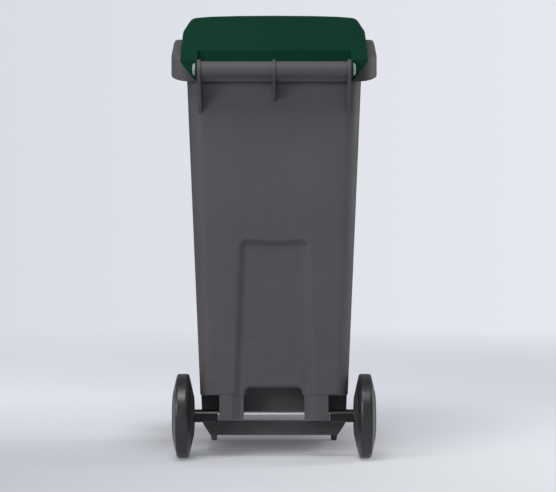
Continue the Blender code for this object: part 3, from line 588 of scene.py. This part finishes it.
def rear_wall(z):
    """The rear wall's Y at a height, beside the panel."""
    return REAR_AT_GROUND + REAR_DRAFT * z


def floor_height(y):
    return FLOOR_AT_STEP + FLOOR_SLOPE * (y - STEP_FRONT)


def rim_height(y):
    """The ledge's height: level, then falling towards the handle, with the bend eased."""
    ease = 0.010
    past = y - RIM_BEND
    return RIM_TOP - RIM_FALL * 0.5 * (np.sqrt(past * past + ease * ease) + past)


def panel_half(z):
    share = (np.minimum(z, PANEL_TOP) - PANEL_FOOT) / (PANEL_TOP - PANEL_FOOT)
    return PANEL_BOTTOM_HALF + (PANEL_TOP_HALF - PANEL_BOTTOM_HALF) * share


def panel_recess(x, z, grow):
    """How far the rear wall is set back at a point."""
    sag = PANEL_SAG * np.maximum(0.0, 1 - (x / (0.7 * PANEL_TOP_HALF)) ** 2)
    from_side = panel_half(z) + grow - np.abs(x)
    from_top = PANEL_TOP + grow - sag - z
    radius = PANEL_CORNER + grow
    corner = radius - np.hypot(np.maximum(radius - from_side, 0), np.maximum(radius - from_top, 0))
    inside = np.where((from_side < radius) & (from_top < radius), corner, np.minimum(from_side, from_top))
    blend = np.clip((from_top - from_side) / radius * 0.5 + 0.5, 0.0, 1.0)
    run = PANEL_TOP_RUN + (PANEL_SIDE_RUN - PANEL_TOP_RUN) * blend
    share = np.clip(inside / run, 0.0, 1.0)
    return PANEL_DEPTH * (0.2 * share + 0.8 * share * share * (3 - 2 * share))


def rear_columns(z, grow):
    """The rear wall's columns follow the recess's slanting sides, close together across them."""
    edge = panel_half(z) + grow
    inner = [14 * k / 100 * (edge - 0.0225) for k in range(1, 7)]
    near = [-0.0215, -0.0200] + [k / 1000 for k in range(-18, 3, 2)] + [0.006, 0.012]
    return [np.zeros_like(edge)] + inner + [edge + offset for offset in near]


def tub_ring(share, lift, inset, top_lift, grow):
    """One ring of the tub, at a share of the height between the sloping floor and the rim."""
    z = np.full_like(ACROSS, 0.5)
    for _ in range(5):
        radius = CORNER_AT_GROUND + CORNER_DRAFT * z - min(inset, WALL)
        half = SIDE_AT_GROUND + SIDE_DRAFT * z - inset
        front = FRONT_AT_GROUND + FRONT_DRAFT * z + inset
        rear = rear_wall(z) - inset
        x, y = plan(half, front, rear, radius)
        foot = floor_height(y)
        z = foot + share * (rim_height(y) + top_lift - foot) + lift
    for k, column in enumerate(rear_columns(z, grow)):
        x[k] = column[k]
        if k:
            x[-k] = -column[-k]
    y = np.where(OUT_Y > 0.999, y - panel_recess(x, z, grow), y)
    return np.stack((x, y, z), axis=1)


def tub_solid(name, inset, floor_lift, top_lift, top_round):
    """The tub as a filled solid: its outside, or, drawn in by the wall, its inside."""
    base_profile = [
        (BASE_CHAMFER_WIDTH + 0.03, 0, 0),
        (BASE_CHAMFER_WIDTH, 0, 0.005),
        (0, BASE_CHAMFER_HEIGHT, 0.030),
        (0, 0.075, 0),
    ]
    rings = []
    # The chamfered base follows the sloping floor
    for draw_in, height in rounded(base_profile, closed=False)[1:]:
        rings.append(tub_ring(0.0, height + floor_lift, draw_in + inset, top_lift, inset))
    rear_foot = floor_height(REAR_AT_GROUND)
    rear_top = float(rim_height(np.array(rear_wall(0.95)))) + top_lift
    # Rings lie close together across the upper end of the rear panel
    heights = [*np.linspace(0.150, 0.470, 9), *np.linspace(0.480, 0.530, 30), *np.linspace(0.560, 0.925, 10)]
    for height in heights:
        rings.append(tub_ring((height - rear_foot) / (rear_top - rear_foot), 0.0, inset, top_lift, inset))
    for draw_in, height in rounded([(0, -0.01, 0), (0, 0, top_round), (0.01, 0, 0)], closed=False)[1:-1]:
        rings.append(tub_ring(1.0, height, draw_in + inset, top_lift, inset))
    return loft(name, rings, mirrored=True)


def arch_cutter(grow, flare=0.0):
    """The arch between the axle brackets, whose mouth in the rear wall is flared round."""
    mouth = rear_wall(ARCH_TOP) - PANEL_DEPTH
    stations = [(ARCH_FRONT - grow, 0.0)]
    if flare:
        stations += arc((mouth - flare, flare), flare, -90, 0, 8)
    stations.append((0.3, stations[-1][1]))
    rings = []
    for y, wider in stations:
        half, top = ARCH_HALF_WIDTH + grow + wider, ARCH_TOP + grow + wider
        outline = [(half, STEP_CEILING - 0.03, 0), (half, top, 0.012 + grow + wider)]
        outline += [(-a, b, r) for a, b, r in reversed(outline)]
        rings.append([(x, y, z) for x, z in rounded(outline)])
    return loft("arch", rings)


def step_cutter(grow, edge=0.0):
    """The room for the axle under the tub's rear, with the rear wall's lower edge rounded."""
    ceiling = STEP_CEILING + grow
    outline = [(STEP_FRONT - grow, -0.1, 0), (STEP_FRONT - grow, ceiling, 0.0015)]
    if edge:
        wall = rear_wall(ceiling)
        outline += plain(arc((wall - edge, ceiling + edge), edge, -90, 0, 8))
        ceiling += edge
    outline += [(0.3, ceiling, 0), (0.3, -0.1, 0)]
    return prism("step", rounded(outline), -0.3, 0.3, X_EDGEWISE)


def tub_inside():
    inside = tub_solid("tub_inside", WALL, FLOOR_THICKNESS, UPSTAND + 0.03, 0.0)
    cut(inside, step_cutter(WALL))
    cut(inside, arch_cutter(WALL))
    return inside


# ---- rim collar
def collar_ring(height, inset, rear):
    x, y = plan(RIM_HALF_WIDTH - inset, RIM_FRONT + inset, rear, RIM_RADIUS - inset)
    return np.stack((x, y, rim_height(y) + height), axis=1)


def collar():
    """The ledge round the mouth with its skirt, rounded along its upper edge and open underneath."""
    profile = [(0.03, -SKIRT_HEIGHT, 0), (0, -SKIRT_HEIGHT, 0.0012), (0, 0, RIM_EDGE), (0.03, 0, 0)]
    rings = []
    for inset, height in rounded(profile, closed=False)[1:-1]:
        rings.append(collar_ring(height, inset, RIM_REAR - inset))
    made = loft("collar", rings, mirrored=True)
    rear = RIM_REAR - 2 * WALL - 0.0005
    inner = [(0.03, -WALL, 0), (0, -WALL, 0.003), (0, -0.09, 0)]
    rings = []
    for inset, height in rounded(inner, closed=False)[1:]:
        rings.append(collar_ring(height, inset + WALL, rear - inset))
    return cut(made, loft("collar_hollow", rings, mirrored=True))


def collar_ribs():
    """Ribs under the ledge: the front row takes the lifting comb, the side rows stiffen the skirt."""
    top = RIM_TOP - 0.002
    ribs = []
    for x in COMB_RIBS:
        low = (x - RIB / 2, RIM_FRONT + 0.0025, RIM_TOP - 0.026)
        ribs.append((low, (x + RIB / 2, COMB_RIB_REAR, top)))
    for y in SIDE_RIBS:
        for side, _ in SIDES:
            near, far = span(side, SIDE_RIB_INNER, RIM_HALF_WIDTH - 0.002)
            ribs.append(((near, y - RIB / 2, RIM_TOP - 0.038), (far, y + RIB / 2, top)))
    return boxes("collar_ribs", ribs, 0.0006)


# ---- handle
def bar_lip(turn, start):
    """The half circle that joins the bar's outer and inner arcs at one edge of its wall."""
    middle = arc((HINGE_Y, HINGE_Z), BAR_RADIUS - BAR_WALL / 2, turn, turn, 1)[0]
    return arc(middle, BAR_WALL / 2, start, start + 180, 8)[1:-1]


def handle_bar():
    """A channel that is round behind and open towards the tub, with rounded lips."""
    centre = (HINGE_Y, HINGE_Z)
    outline = arc(centre, BAR_RADIUS, -BAR_ANGLE, BAR_ANGLE, 56) + bar_lip(BAR_ANGLE, BAR_ANGLE)
    outline += arc(centre, BAR_RADIUS - BAR_WALL, BAR_ANGLE, -BAR_ANGLE, 44)
    outline += bar_lip(-BAR_ANGLE, 180 - BAR_ANGLE)
    half = (END_RIB_INNER + END_RIB_OUTER) / 2
    right = [half * share for share in (-1, -0.95, -0.75, -0.5, -0.25, -0.03)]
    stations = right + [-x for x in reversed(right)]
    return loft("handle_bar", [[(x, y, z) for y, z in outline] for x in stations])


def pin_bore():
    """The hole for both hinge pins, through the handle's ribs and the lid's eyes."""
    return ((-0.20, HINGE_Y, HINGE_Z), (0.20, HINGE_Y, HINGE_Z), PIN_RADIUS + SLACK)


def handle_rib(low, high, foot):
    """A gusset from the rear wall that ends in a disc round the bar."""
    root = rear_wall(HINGE_Z) - 0.0025
    outline = plain(arc((HINGE_Y, HINGE_Z), HANDLE_RIB_RADIUS, -52, 100, 36))
    outline += [(root, HINGE_Z + 0.001, 0), (root, foot, 0)]
    return prism("handle_rib", rounded(outline), low, high, X_EDGEWISE, 0.0009)


# ---- axle brackets and feet
def bracket_ring(side, z, inset):
    """A bracket's outline in plan, whose inner part stands back with the rear panel."""
    rear = rear_wall(z) - BRACKET_SETBACK - inset
    front = STEP_FRONT - BRACKET_OVERLAP + inset
    edge = float(panel_half(np.array(z)))
    outline = [
        (BRACKET_INNER + inset, front, 0.001),
        (BRACKET_OUTER - inset, front, 0.001),
        (BRACKET_OUTER - inset, rear, 0.0025),
        (edge, rear, 0.0025),
        (edge - PANEL_SIDE_RUN, rear - PANEL_DEPTH, 0.0025),
        (BRACKET_INNER + inset, rear - PANEL_DEPTH, 0.0018),
    ]
    return [(side * x, y, z) for x, y in rounded(outline)]


def brackets():
    edge = 0.0012
    steps = [(0.0, edge), (0.3 * edge, 0.3 * edge), (edge, 0.0)]
    levels = [(BRACKET_BOTTOM + up, inset) for up, inset in steps] + [(BRACKET_TOP, 0.0)]
    return [loft("bracket", [bracket_ring(side, z, inset) for z, inset in levels]) for side, _ in SIDES]


def bracket_pockets():
    pockets = []
    for side, _ in SIDES:
        near, far = span(side, BRACKET_INNER + BRACKET_CHEEK, BRACKET_OUTER - BRACKET_CHEEK)
        low = (near, STEP_FRONT - BRACKET_OVERLAP + 2 * BRACKET_CHEEK, 0.0)
        rear = rear_wall(STEP_CEILING) - PANEL_DEPTH - BRACKET_CHEEK
        pockets.append((low, (far, rear, BRACKET_TOP - 0.003)))
    return boxes("bracket_pockets", pockets, 0.001)


def foot(side):
    corners = [(0.168, 0.045, 0), (0.1605, 0.0, 0.002), (0.1475, 0.0, 0.002), (0.1415, 0.045, 0)]
    outline = rounded([(side * a, b, r) for a, b, r in corners])
    return prism("foot", outline, -FOOT_REAR, -FOOT_FRONT, Y_EDGEWISE, 0.0012)


def make_body():
    body = tub_solid("bin_shell", 0.0, 0.0, UPSTAND, 0.0014)
    cut(body, step_cutter(0.0, STEP_EDGE))
    cut(body, arch_cutter(0.0, ARCH_FLARE))
    join(body, collar())
    for bracket in brackets():
        join(body, bracket)
    join(body, collar_ribs())
    for side, _ in SIDES:
        join(body, foot(side))
    cut(body, tub_inside())
    join(body, handle_bar())
    join(body, handle_rib(-MIDDLE_RIB, MIDDLE_RIB, MIDDLE_RIB_FOOT))
    for side, _ in SIDES:
        low, high = span(side, END_RIB_INNER, END_RIB_OUTER)
        join(body, handle_rib(low, high, END_RIB_FOOT))
    cut(body, bracket_pockets())
    bores = [((-0.15, AXLE_Y, AXLE_Z), (0.15, AXLE_Y, AXLE_Z), AXLE_RADIUS + SLACK), pin_bore()]
    for _, x, y in buffer_places():
        bores.append(((x, y, RIM_TOP - 0.02), (x, y, RIM_TOP + 0.004), 0.0025 + SLACK))
    cut(body, rods("bores", bores))
    dress(body, "bin", "body_grey", "bin_body")


# ---- rim buffers
def buffer_places():
    """Each buffer's name, X and Y."""
    return [(f"{row}_{hand}", side * BUFFER_X, y) for side, hand in SIDES for row, y in BUFFER_ROWS.items()]


def make_buffers():
    top, under = RIM_TOP + 0.0026, RIM_TOP - WALL
    profile = [
        (0, top, 0),
        (0.0048, top, 0.0014),
        (0.0048, RIM_TOP + SLACK, 0.0003),
        (0.0025, RIM_TOP + SLACK, 0),
        (0.0025, under - SLACK, 0),
        (0.0042, under - SLACK, 0.0003),
        (0.0020, under - 0.0055, 0.0006),
        (0, under - 0.0055, 0),
    ]
    for name, x, y in buffer_places():
        stud = lathe(f"buffer_{name}", rounded(profile, 4), 32)
        stud.data.transform(Matrix.Translation((x, y, 0)))
        dress(stud, "bin", "rubber", f"rim_buffer_{name}")


# ---- lid
def eased_share(x, column):
    """A station value at x, with the bends between stations softened over a few millimetres."""
    stations = np.array(LID_STATIONS)
    soften = 0.0035
    near = abs(x) + soften * np.arange(-3, 4) / 3
    found = np.interp(near, stations[:, 0], stations[:, column])
    return float(np.average(found, weights=(1, 2, 3, 4, 3, 2, 1)))


def lid_foot(y):
    return float(rim_height(np.array(y))) + LID_GAP


def corner_pull(x, radius):
    """How far a plan corner of that radius draws in at x."""
    past = abs(x) - (LID_HALF_WIDTH - radius)
    if past <= 0:
        return 0.0
    return radius - math.sqrt(max(0.0, radius * radius - past * past))


def lid_slope(y):
    """Height of the lid's sloping rear top, carried on behind its rear edge."""
    return LID_REAR_TOP - (y - LID_REAR) * (LID_SHOULDER_TOP - LID_REAR_TOP) / (LID_REAR - LID_SHOULDER)


def flared(x, y):
    """The lid's sides widen a little towards the rear corners."""
    share = min(1.0, max(0.0, (y - 0.10) / 0.09))
    share = share * share * (3 - 2 * share)
    return x * (1 + share * LID_FLARE / LID_HALF_WIDTH * (abs(x) / LID_HALF_WIDTH) ** 8)


def lid_ring(x, true_x, inset, hollow):
    """The lid's outline in side view at one station, as (x, y, z)."""
    share, rear_share, skirt_foot = [eased_share(true_x, column) for column in (1, 2, 3)]
    rear_pull = LID_REAR_PULL * max(0.0, (abs(true_x) - 0.209) / 0.009)
    front = LID_FRONT + corner_pull(true_x, LID_FRONT_CORNER) + inset
    rear = LID_REAR - rear_pull - inset
    lip = LID_REAR - rear_pull - LID_WALL - 0.0004
    tops = (
        (rear, LID_REAR_TOP - 0.4 * inset, rear_share, 0.010),
        (LID_SHOULDER - 0.4 * inset, LID_SHOULDER_TOP - inset, share, 0.040),
        (0.0, LID_TOP - inset, share, 0.60),
        (LID_BROW + 0.3 * inset, LID_BROW_TOP - inset, share, 0.060),
        (front, LID_FRONT_TOP - 0.7 * inset, share, 0.012),
    )
    upper = [(y, lid_foot(y) + part * (z - lid_foot(y)), r) for y, z, part, r in tops]
    if hollow:
        lower = [(front, 0.80, 0), (RIM_BEND, 0.80, 0), (rear, 0.80, 0)]
    else:
        lower = [
            (front, lid_foot(front) + inset, 0.0008),
            (RIM_BEND, lid_foot(RIM_BEND) + inset, 0.030),
            (lip, lid_foot(lip) + inset, 0.0004),
            (lip, skirt_foot + inset, 0.0008),
            (rear, skirt_foot + inset, 0.0008),
        ]
    return [(flared(x, y), y, z) for y, z in rounded(lower + upper)]


def lid_solid(name, inset, hollow):
    """The lid's outside as a filled solid with rounded ends, or the hollow under it."""
    ends = [(-LID_HALF_WIDTH, 0.0)]
    if not hollow:
        straight = LID_HALF_WIDTH - LID_END_ROUND
        turns = [math.radians(turn) for turn in (0, 25, 50, 75, 90)]
        ends = [(-(straight + LID_END_ROUND * math.cos(t)), LID_END_ROUND * (1 - math.sin(t))) for t in turns]
    half = ends + [(-x, 0.0) for x in reversed(LID_RINGS + LID_END_RINGS)]
    rings = []
    for x, drop in half + [(0.0, 0.0)] + [(-x, drop) for x, drop in reversed(half)]:
        rings.append(lid_ring(x - inset * x / LID_HALF_WIDTH, x, inset + drop, hollow))
    return loft(name, rings)


def lid_arm(side):
    """A hollow arm that carries the lid's corner back to the hinge, its lower edge cut away slantwise."""

    def crossed(from_side, from_behind):
        low, high = span(side, 0.165, 0.225)
        made = prism("arm", rounded(from_side), low, high, X_EDGEWISE)
        outline = rounded([(side * x, z, r) for x, z, r in from_behind])
        return combine(made, "INTERSECT", prism("arm_trim", outline, -0.26, -0.18, Y_EDGEWISE))

    front = LID_REAR - 0.002
    outer = ARM_OUTER + 0.001
    from_side = [
        (front + 0.0070, ARM_TIP, 0.001),
        (front, ARM_TIP + 0.0110, 0.001),
        (front, lid_slope(front) - 0.0004, 0),
        (ARM_REAR, lid_slope(ARM_REAR) - 0.0004, 0.010),
        (ARM_REAR, ARM_TIP, 0.001),
    ]
    from_behind = [
        (ARM_INNER, 0.87, 0),
        (ARM_INNER, 1.00, 0),
        (outer, 1.00, 0),
        (outer, ARM_KNEE, 0.010),
        (ARM_TIP_OUTER, ARM_TIP, 0.002),
        (ARM_TIP_OUTER, 0.87, 0),
    ]
    arm = crossed(from_side, from_behind)
    bevel = arm.modifiers.new("edges", "BEVEL")
    bevel.width = 0.0020
    bevel.segments = 3
    bevel.limit_method = "ANGLE"
    bevel.angle_limit = math.radians(40)
    freeze(arm)

    wall = LID_WALL
    inside_from_side = [
        (front - 0.01, 0.87, 0),
        (front - 0.01, lid_slope(front - 0.01) - 1.4 * wall, 0),
        (ARM_REAR - wall, lid_slope(ARM_REAR - wall) - 1.4 * wall, 0.006),
        (ARM_REAR - wall, 0.87, 0),
    ]
    inside_from_behind = [
        (ARM_INNER + wall, 0.8957, 0.001),
        (ARM_INNER + wall, 0.9965, 0.001),
        (outer - wall, 0.9965, 0.001),
        (outer - wall, ARM_KNEE + 0.0012, 0.008),
    ]
    return cut(arm, crossed(inside_from_side, inside_from_behind))


def lid_eye(side):
    """The plate round the hinge pin at the inner side of an arm."""
    outline = arc((HINGE_Y, HINGE_Z), EYE_RADIUS, -120, 75, 48) + [(EYE_ROOT, 0.9440), (EYE_ROOT, 0.9000)]
    low, high = span(side, ARM_INNER + 0.0001, ARM_INNER + 0.0037)
    return prism("eye", outline, low, high, X_EDGEWISE, 0.0007)


def lid_lip():
    """The grip along the lid's front edge."""
    outline = [
        (RIM_FRONT, 1.0140, 0.0012),
        (RIM_FRONT, 1.0180, 0.0012),
        (LID_FRONT + 0.001, 1.0205, 0),
        (LID_FRONT + 0.001, 1.0135, 0),
    ]
    return prism("lid_lip", rounded(outline), -0.185, 0.185, X_EDGEWISE, 0.0015)


def make_lid():
    lid = lid_solid("lid_shell", 0.0, False)
    cut(lid, lid_solid("lid_inside", LID_WALL, True))
    for side, _ in SIDES:
        join(lid, lid_arm(side))
        join(lid, lid_eye(side))
    join(lid, lid_lip())
    cut(lid, rods("lid_bore", [pin_bore()]))
    dress(lid, "lid", "lid_green", "lid")


def make_hinge_pins():
    head = ARM_INNER + 0.0042
    profile = [
        (0, head + 0.0066, 0),
        (0.0095, head + 0.0062, 0.006),
        (PIN_HEAD_RADIUS, head + 0.0036, 0.0016),
        (PIN_HEAD_RADIUS, head, 0.0004),
        (PIN_RADIUS, head, 0),
        (PIN_RADIUS, 0.1560, 0.0010),
        (0.0045, 0.1520, 0.0008),
        (0, 0.1520, 0),
    ]
    for side, hand in SIDES:
        pin = along_x(lathe(f"pin_{hand}", rounded(profile, 5), 64), side, (0, HINGE_Y, HINGE_Z))
        dress(pin, "bin", "pin_plastic", f"hinge_pin_{hand}")


# ---- axle and sleeves
def make_axle():
    half = [
        (0, AXLE_END, 0),
        (AXLE_RADIUS, AXLE_END, 0.0016),
        (AXLE_RADIUS, GROOVE_X + GROOVE_HALF, 0.0003),
        (GROOVE_RADIUS, GROOVE_X + GROOVE_HALF, 0.0004),
        (GROOVE_RADIUS, GROOVE_X - GROOVE_HALF, 0.0004),
        (AXLE_RADIUS, GROOVE_X - GROOVE_HALF, 0.0003),
    ]
    profile = rounded(half + [(r, -u, e) for r, u, e in reversed(half)], 4)
    rod = along_x(lathe("axle_rod", profile, 64), 1, (0, AXLE_Y, AXLE_Z))
    dress(rod, "bin", "galvanised", "axle")
    for side, hand in SIDES:
        bore = AXLE_RADIUS + SLACK
        profile = [
            (SLEEVE_RADIUS, SLEEVE_OUTER_END, 0.0012),
            (SLEEVE_RADIUS, SLEEVE_INNER_END, 0.0012),
            (bore, SLEEVE_INNER_END, 0.0003),
            (bore, SLEEVE_OUTER_END, 0.0003),
        ]
        sleeve = along_x(lathe(f"sleeve_{hand}", rounded(profile, 4), 64), side, (0, AXLE_Y, AXLE_Z))
        dress(sleeve, "bin", "black_plastic", f"axle_sleeve_{hand}")


# ---- wheels
def sidewall(radius):
    """Half the wheel's width at a radius: both faces are shallow cones."""
    return TREAD_HALF + SIDEWALL_SLOPE * (WHEEL_RADIUS - radius)


def make_tyre(side, hand):
    seat, key = TYRE_SEAT + SLACK, TYRE_KEY + SLACK
    half = [
        (WHEEL_RADIUS, 0.0, 0),
        (WHEEL_RADIUS, 0.0092, 0.006),
        (WHEEL_RADIUS - 0.0016, sidewall(WHEEL_RADIUS - 0.0016), 0.0016),
        (0.0885, sidewall(0.0885), 0.0006),
        (0.0879, sidewall(0.0885) - 0.0006, 0.0003),
        (0.0868, sidewall(0.0868) - 0.0006, 0.0003),
        (0.0862, sidewall(0.0862), 0.0006),
        (seat + 0.0016, sidewall(seat + 0.0016), 0.0008),
        (seat, sidewall(seat) - 0.0012, 0.0005),
        (seat, 0.0065, 0.0003),
        (key, 0.0050, 0.0003),
    ]
    outline = half + [(r, -u, e) for r, u, e in reversed(half[1:])]
    tyre = lathe(f"tyre_tread_{hand}", rounded(outline, 4), 144)
    along_x(tyre, side, (side * WHEEL_X, AXLE_Y, AXLE_Z))
    dress(tyre, f"wheel_{hand}", "tyre", f"tyre_{hand}")


def spoke(index):
    """A web from the hub to the outer ring, rounded along its outer edge."""
    angle = math.pi * (2 * index + 1) / SPOKES
    outline = [
        (0.0195, -0.0230, 0),
        (0.0450, -0.0240, 0),
        (0.0630, -0.0205, 0),
        (0.0630, 0.0170, 0),
        (0.0570, 0.0205, 0.003),
        (0.0450, 0.0228, 0.010),
        (0.0262, 0.0232, 0.001),
        (0.0262, 0.0148, 0.001),
        (0.0195, 0.0148, 0),
    ]
    turn = Matrix.Rotation(angle, 4, "Z") @ Matrix.Rotation(math.pi / 2, 4, "X")
    return prism("spoke", rounded(outline), -0.0019, 0.0019, turn, 0.0006)


def make_rim(side, hand):
    """Hub, dished inner face and outer ring in one, with spokes outside and a boss for the lock pin."""
    rim_half = sidewall(TYRE_SEAT) - 0.0004
    profile = [
        (TYRE_SEAT, rim_half, 0.0010),
        (TYRE_SEAT, 0.0068, 0.0003),
        (TYRE_KEY, 0.0053, 0.0003),
        (TYRE_KEY, -0.0053, 0.0003),
        (TYRE_SEAT, -0.0068, 0.0003),
        (TYRE_SEAT, -rim_half, 0.0010),
        (0.0460, -sidewall(0.0460) + 0.0006, 0.02),
        (HUB_RADIUS, HUB_IN, 0.0012),
        (HUB_BORE, HUB_IN, 0.0006),
        (HUB_BORE, HUB_OUT, 0.0006),
        (HUB_RADIUS, HUB_OUT, 0.0010),
        (HUB_RADIUS, HUB_IN + 0.0038, 0.0030),
        (0.0450, -sidewall(0.0450) + 0.0046, 0.004),
        (RING_INNER, -sidewall(RING_INNER) + 0.0042, 0.0030),
        (RING_INNER + 0.0005, sidewall(RING_INNER) - 0.0006, 0.0010),
        (RING_INNER + 0.0035, sidewall(RING_INNER + 0.0035) - 0.0004, 0.0020),
    ]
    rim = lathe(f"rim_{hand}", rounded(profile, 5), 128)
    for index in range(SPOKES):
        join(rim, spoke(index))
    radial = Vector((-side, 0, 0))
    centre = Vector((0, 0, LOCK_U))
    for change, start, end, radius, segments in (
        (join, 0.0180, BOSS_END, BOSS_RADIUS, 40),
        (cut, 0.0180, 0.0500, 0.0045, 32),
        (cut, 0.0100, 0.0182, 0.0033, 32),
    ):
        rod = (centre + radial * start, centre + radial * end, radius)
        change(rim, rods("lock_boss", [rod], segments))
    cut(rim, rods("bore", [((0, 0, -0.03), (0, 0, 0.03), HUB_BORE)], 128))
    along_x(rim, side, (side * WHEEL_X, AXLE_Y, AXLE_Z))
    dress(rim, f"wheel_{hand}", "wheel_plastic", f"wheel_rim_{hand}")


def make_hub_cap(side, hand):
    """A domed cap whose skirt grips the outside of the hub."""
    skirt, grip = 0.0243, HUB_RADIUS + SLACK
    lowest, top, roof = HUB_OUT - 0.0015, 0.0262, 0.0228
    profile = [
        (0, top, 0),
        (0.0085, top, 0.0006),
        (0.0093, top - 0.0007, 0.0004),
        (0.0185, top - 0.0014, 0.006),
        (skirt, roof - 0.0006, 0.0014),
        (skirt, lowest, 0.0005),
        (grip, lowest, 0.0002),
        (grip, roof - 0.0012, 0.0006),
        (0.0190, roof, 0.0006),
        (0, roof, 0),
    ]
    cap = along_x(lathe(f"cap_{hand}", rounded(profile, 5)), side, (side * WHEEL_X, AXLE_Y, AXLE_Z))
    dress(cap, f"wheel_{hand}", "black_plastic", f"hub_cap_{hand}")


def dress_kept_nodes():
    """CAD pieces whose shape is right already keep it and get their finish."""
    for name, slot in KEPT_NODES.items():
        for _, hand in SIDES:
            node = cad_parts[f"{name}_{hand}"]
            for item in node.material_slots:
                item.material = LOOKS[slot]


# ---- stage
def near_middle(tree, value, middle, half, softness):
    """1 within half of the middle, falling smoothly to 0 outside."""
    off = calculate(tree, "ABSOLUTE", calculate(tree, "SUBTRACT", value, middle))
    return spread(tree, off, half - softness / 2, half + softness / 2, 1.0, 0.0, "SMOOTHSTEP")


def make_floor():
    """A pale floor that fades into the backdrop and glows a little. Its colour carries painted shade, darker
    towards the bin's left and most of all there near the camera, and a painted shadow under the bin.
    """
    bm = bmesh.new()
    bmesh.ops.create_circle(bm, cap_ends=True, segments=96, radius=FLOOR_RADIUS)
    ground = mesh_object("floor", bm)
    tree, shader, place = start_material("floor")
    x, y, _ = split(tree, place)
    # Painted shade: the floor's colour darkens towards the bin's left, most of all near the camera
    away = spread(tree, y, *FLOOR_FAR_TO_NEAR, 1.0, 0.0)
    left = blend_colour(tree, away, FLOOR_LEFT_NEAR, FLOOR_LEFT_FAR)
    right = blend_colour(tree, away, FLOOR_RIGHT_NEAR, FLOOR_RIGHT_FAR)
    tint = blend_colour(tree, spread(tree, x, *FLOOR_RIGHT_TO_LEFT), right, left)
    across = near_middle(tree, x, *SHADOW_ACROSS, SHADOW_SOFTNESS)
    along = near_middle(tree, y, *SHADOW_ALONG, SHADOW_SOFTNESS)
    under = calculate(tree, "MULTIPLY", calculate(tree, "MULTIPLY", across, along), SHADOW_DEPTH)
    tint = blend_colour(tree, under, tint, SHADOW_COLOUR)
    mottle = spread(tree, noise(tree, place, 2.0), 0.3, 0.7, 0.0, 0.05)
    tint = blend_colour(tree, mottle, tint, (0.9, 0.9, 0.9, 1.0))
    reach = add(tree, "ShaderNodeVectorMath", {0: place}, operation="LENGTH").outputs["Value"]
    connect(tree, shader, {
        "Base Color": tint,
        "Roughness": 0.85,
        "Specular IOR Level": 0.1,
        "Emission Color": tint,
        "Emission Strength": FLOOR_GLOW,
        "Alpha": spread(tree, reach, *FLOOR_FADE, 1.0, 0.0),
    })
    ground.data.materials.append(LOOKS["floor"])


def make_backdrop():
    """A pale dome all round, seen behind the bin but lighting nothing."""
    bm = bmesh.new()
    bmesh.ops.create_icosphere(bm, subdivisions=5, radius=BACKDROP_RADIUS)
    dome = mesh_object("backdrop", bm)
    tree, shader, place = start_material("backdrop")
    tree.nodes.remove(shader)
    across = spread(tree, split(tree, place)["X"], *BACKDROP_RIGHT_TO_LEFT)
    tint = blend_colour(tree, across, BACKDROP_RIGHT, BACKDROP_LEFT)
    glow = add(tree, "ShaderNodeEmission", {"Color": tint, "Strength": 1.0}).outputs["Emission"]
    connect(tree, tree.nodes["Material Output"], {"Surface": glow})
    dome.data.materials.append(LOOKS["backdrop"])
    for ray in ("diffuse", "glossy", "transmission", "shadow"):
        setattr(dome, f"visible_{ray}", False)


def make_world():
    world = bpy.data.worlds.new("surroundings")
    bpy.context.scene.world = world
    world.use_nodes = True
    tree = world.node_tree
    connect(tree, tree.nodes["Background"], {"Color": WORLD_COLOUR, "Strength": WORLD_STRENGTH})


def make_lights():
    """Soft rectangular lamps, each given by its place, its target, its size and its power."""
    for name, place, target, size, power in LIGHTS:
        data = bpy.data.lights.new(name, "AREA")
        data.shape = "RECTANGLE"
        data.size, data.size_y = size
        data.energy = power
        lamp = new_object(name, data)
        lamp.location = place
        lamp.rotation_euler = (Vector(target) - Vector(place)).to_track_quat("-Z", "Y").to_euler()


def make_camera():
    data = bpy.data.cameras.new("camera")
    data.lens = CAMERA_LENS
    data.sensor_width = SENSOR_WIDTH
    data.shift_x = CAMERA_SHIFT
    camera = new_object("camera", data)
    camera.location = CAMERA_PLACE
    camera.rotation_euler = (math.radians(90 - CAMERA_TILT), 0, math.pi)
    bpy.context.scene.camera = camera
    bpy.context.scene.view_settings.view_transform = "Standard"


def main():
    make_camera()
    make_world()
    make_lights()
    make_floor()
    make_backdrop()
    make_looks()
    make_body()
    make_lid()
    make_buffers()
    make_hinge_pins()
    make_axle()
    for side, hand in SIDES:
        make_tyre(side, hand)
        make_rim(side, hand)
        make_hub_cap(side, hand)
    dress_kept_nodes()


main()
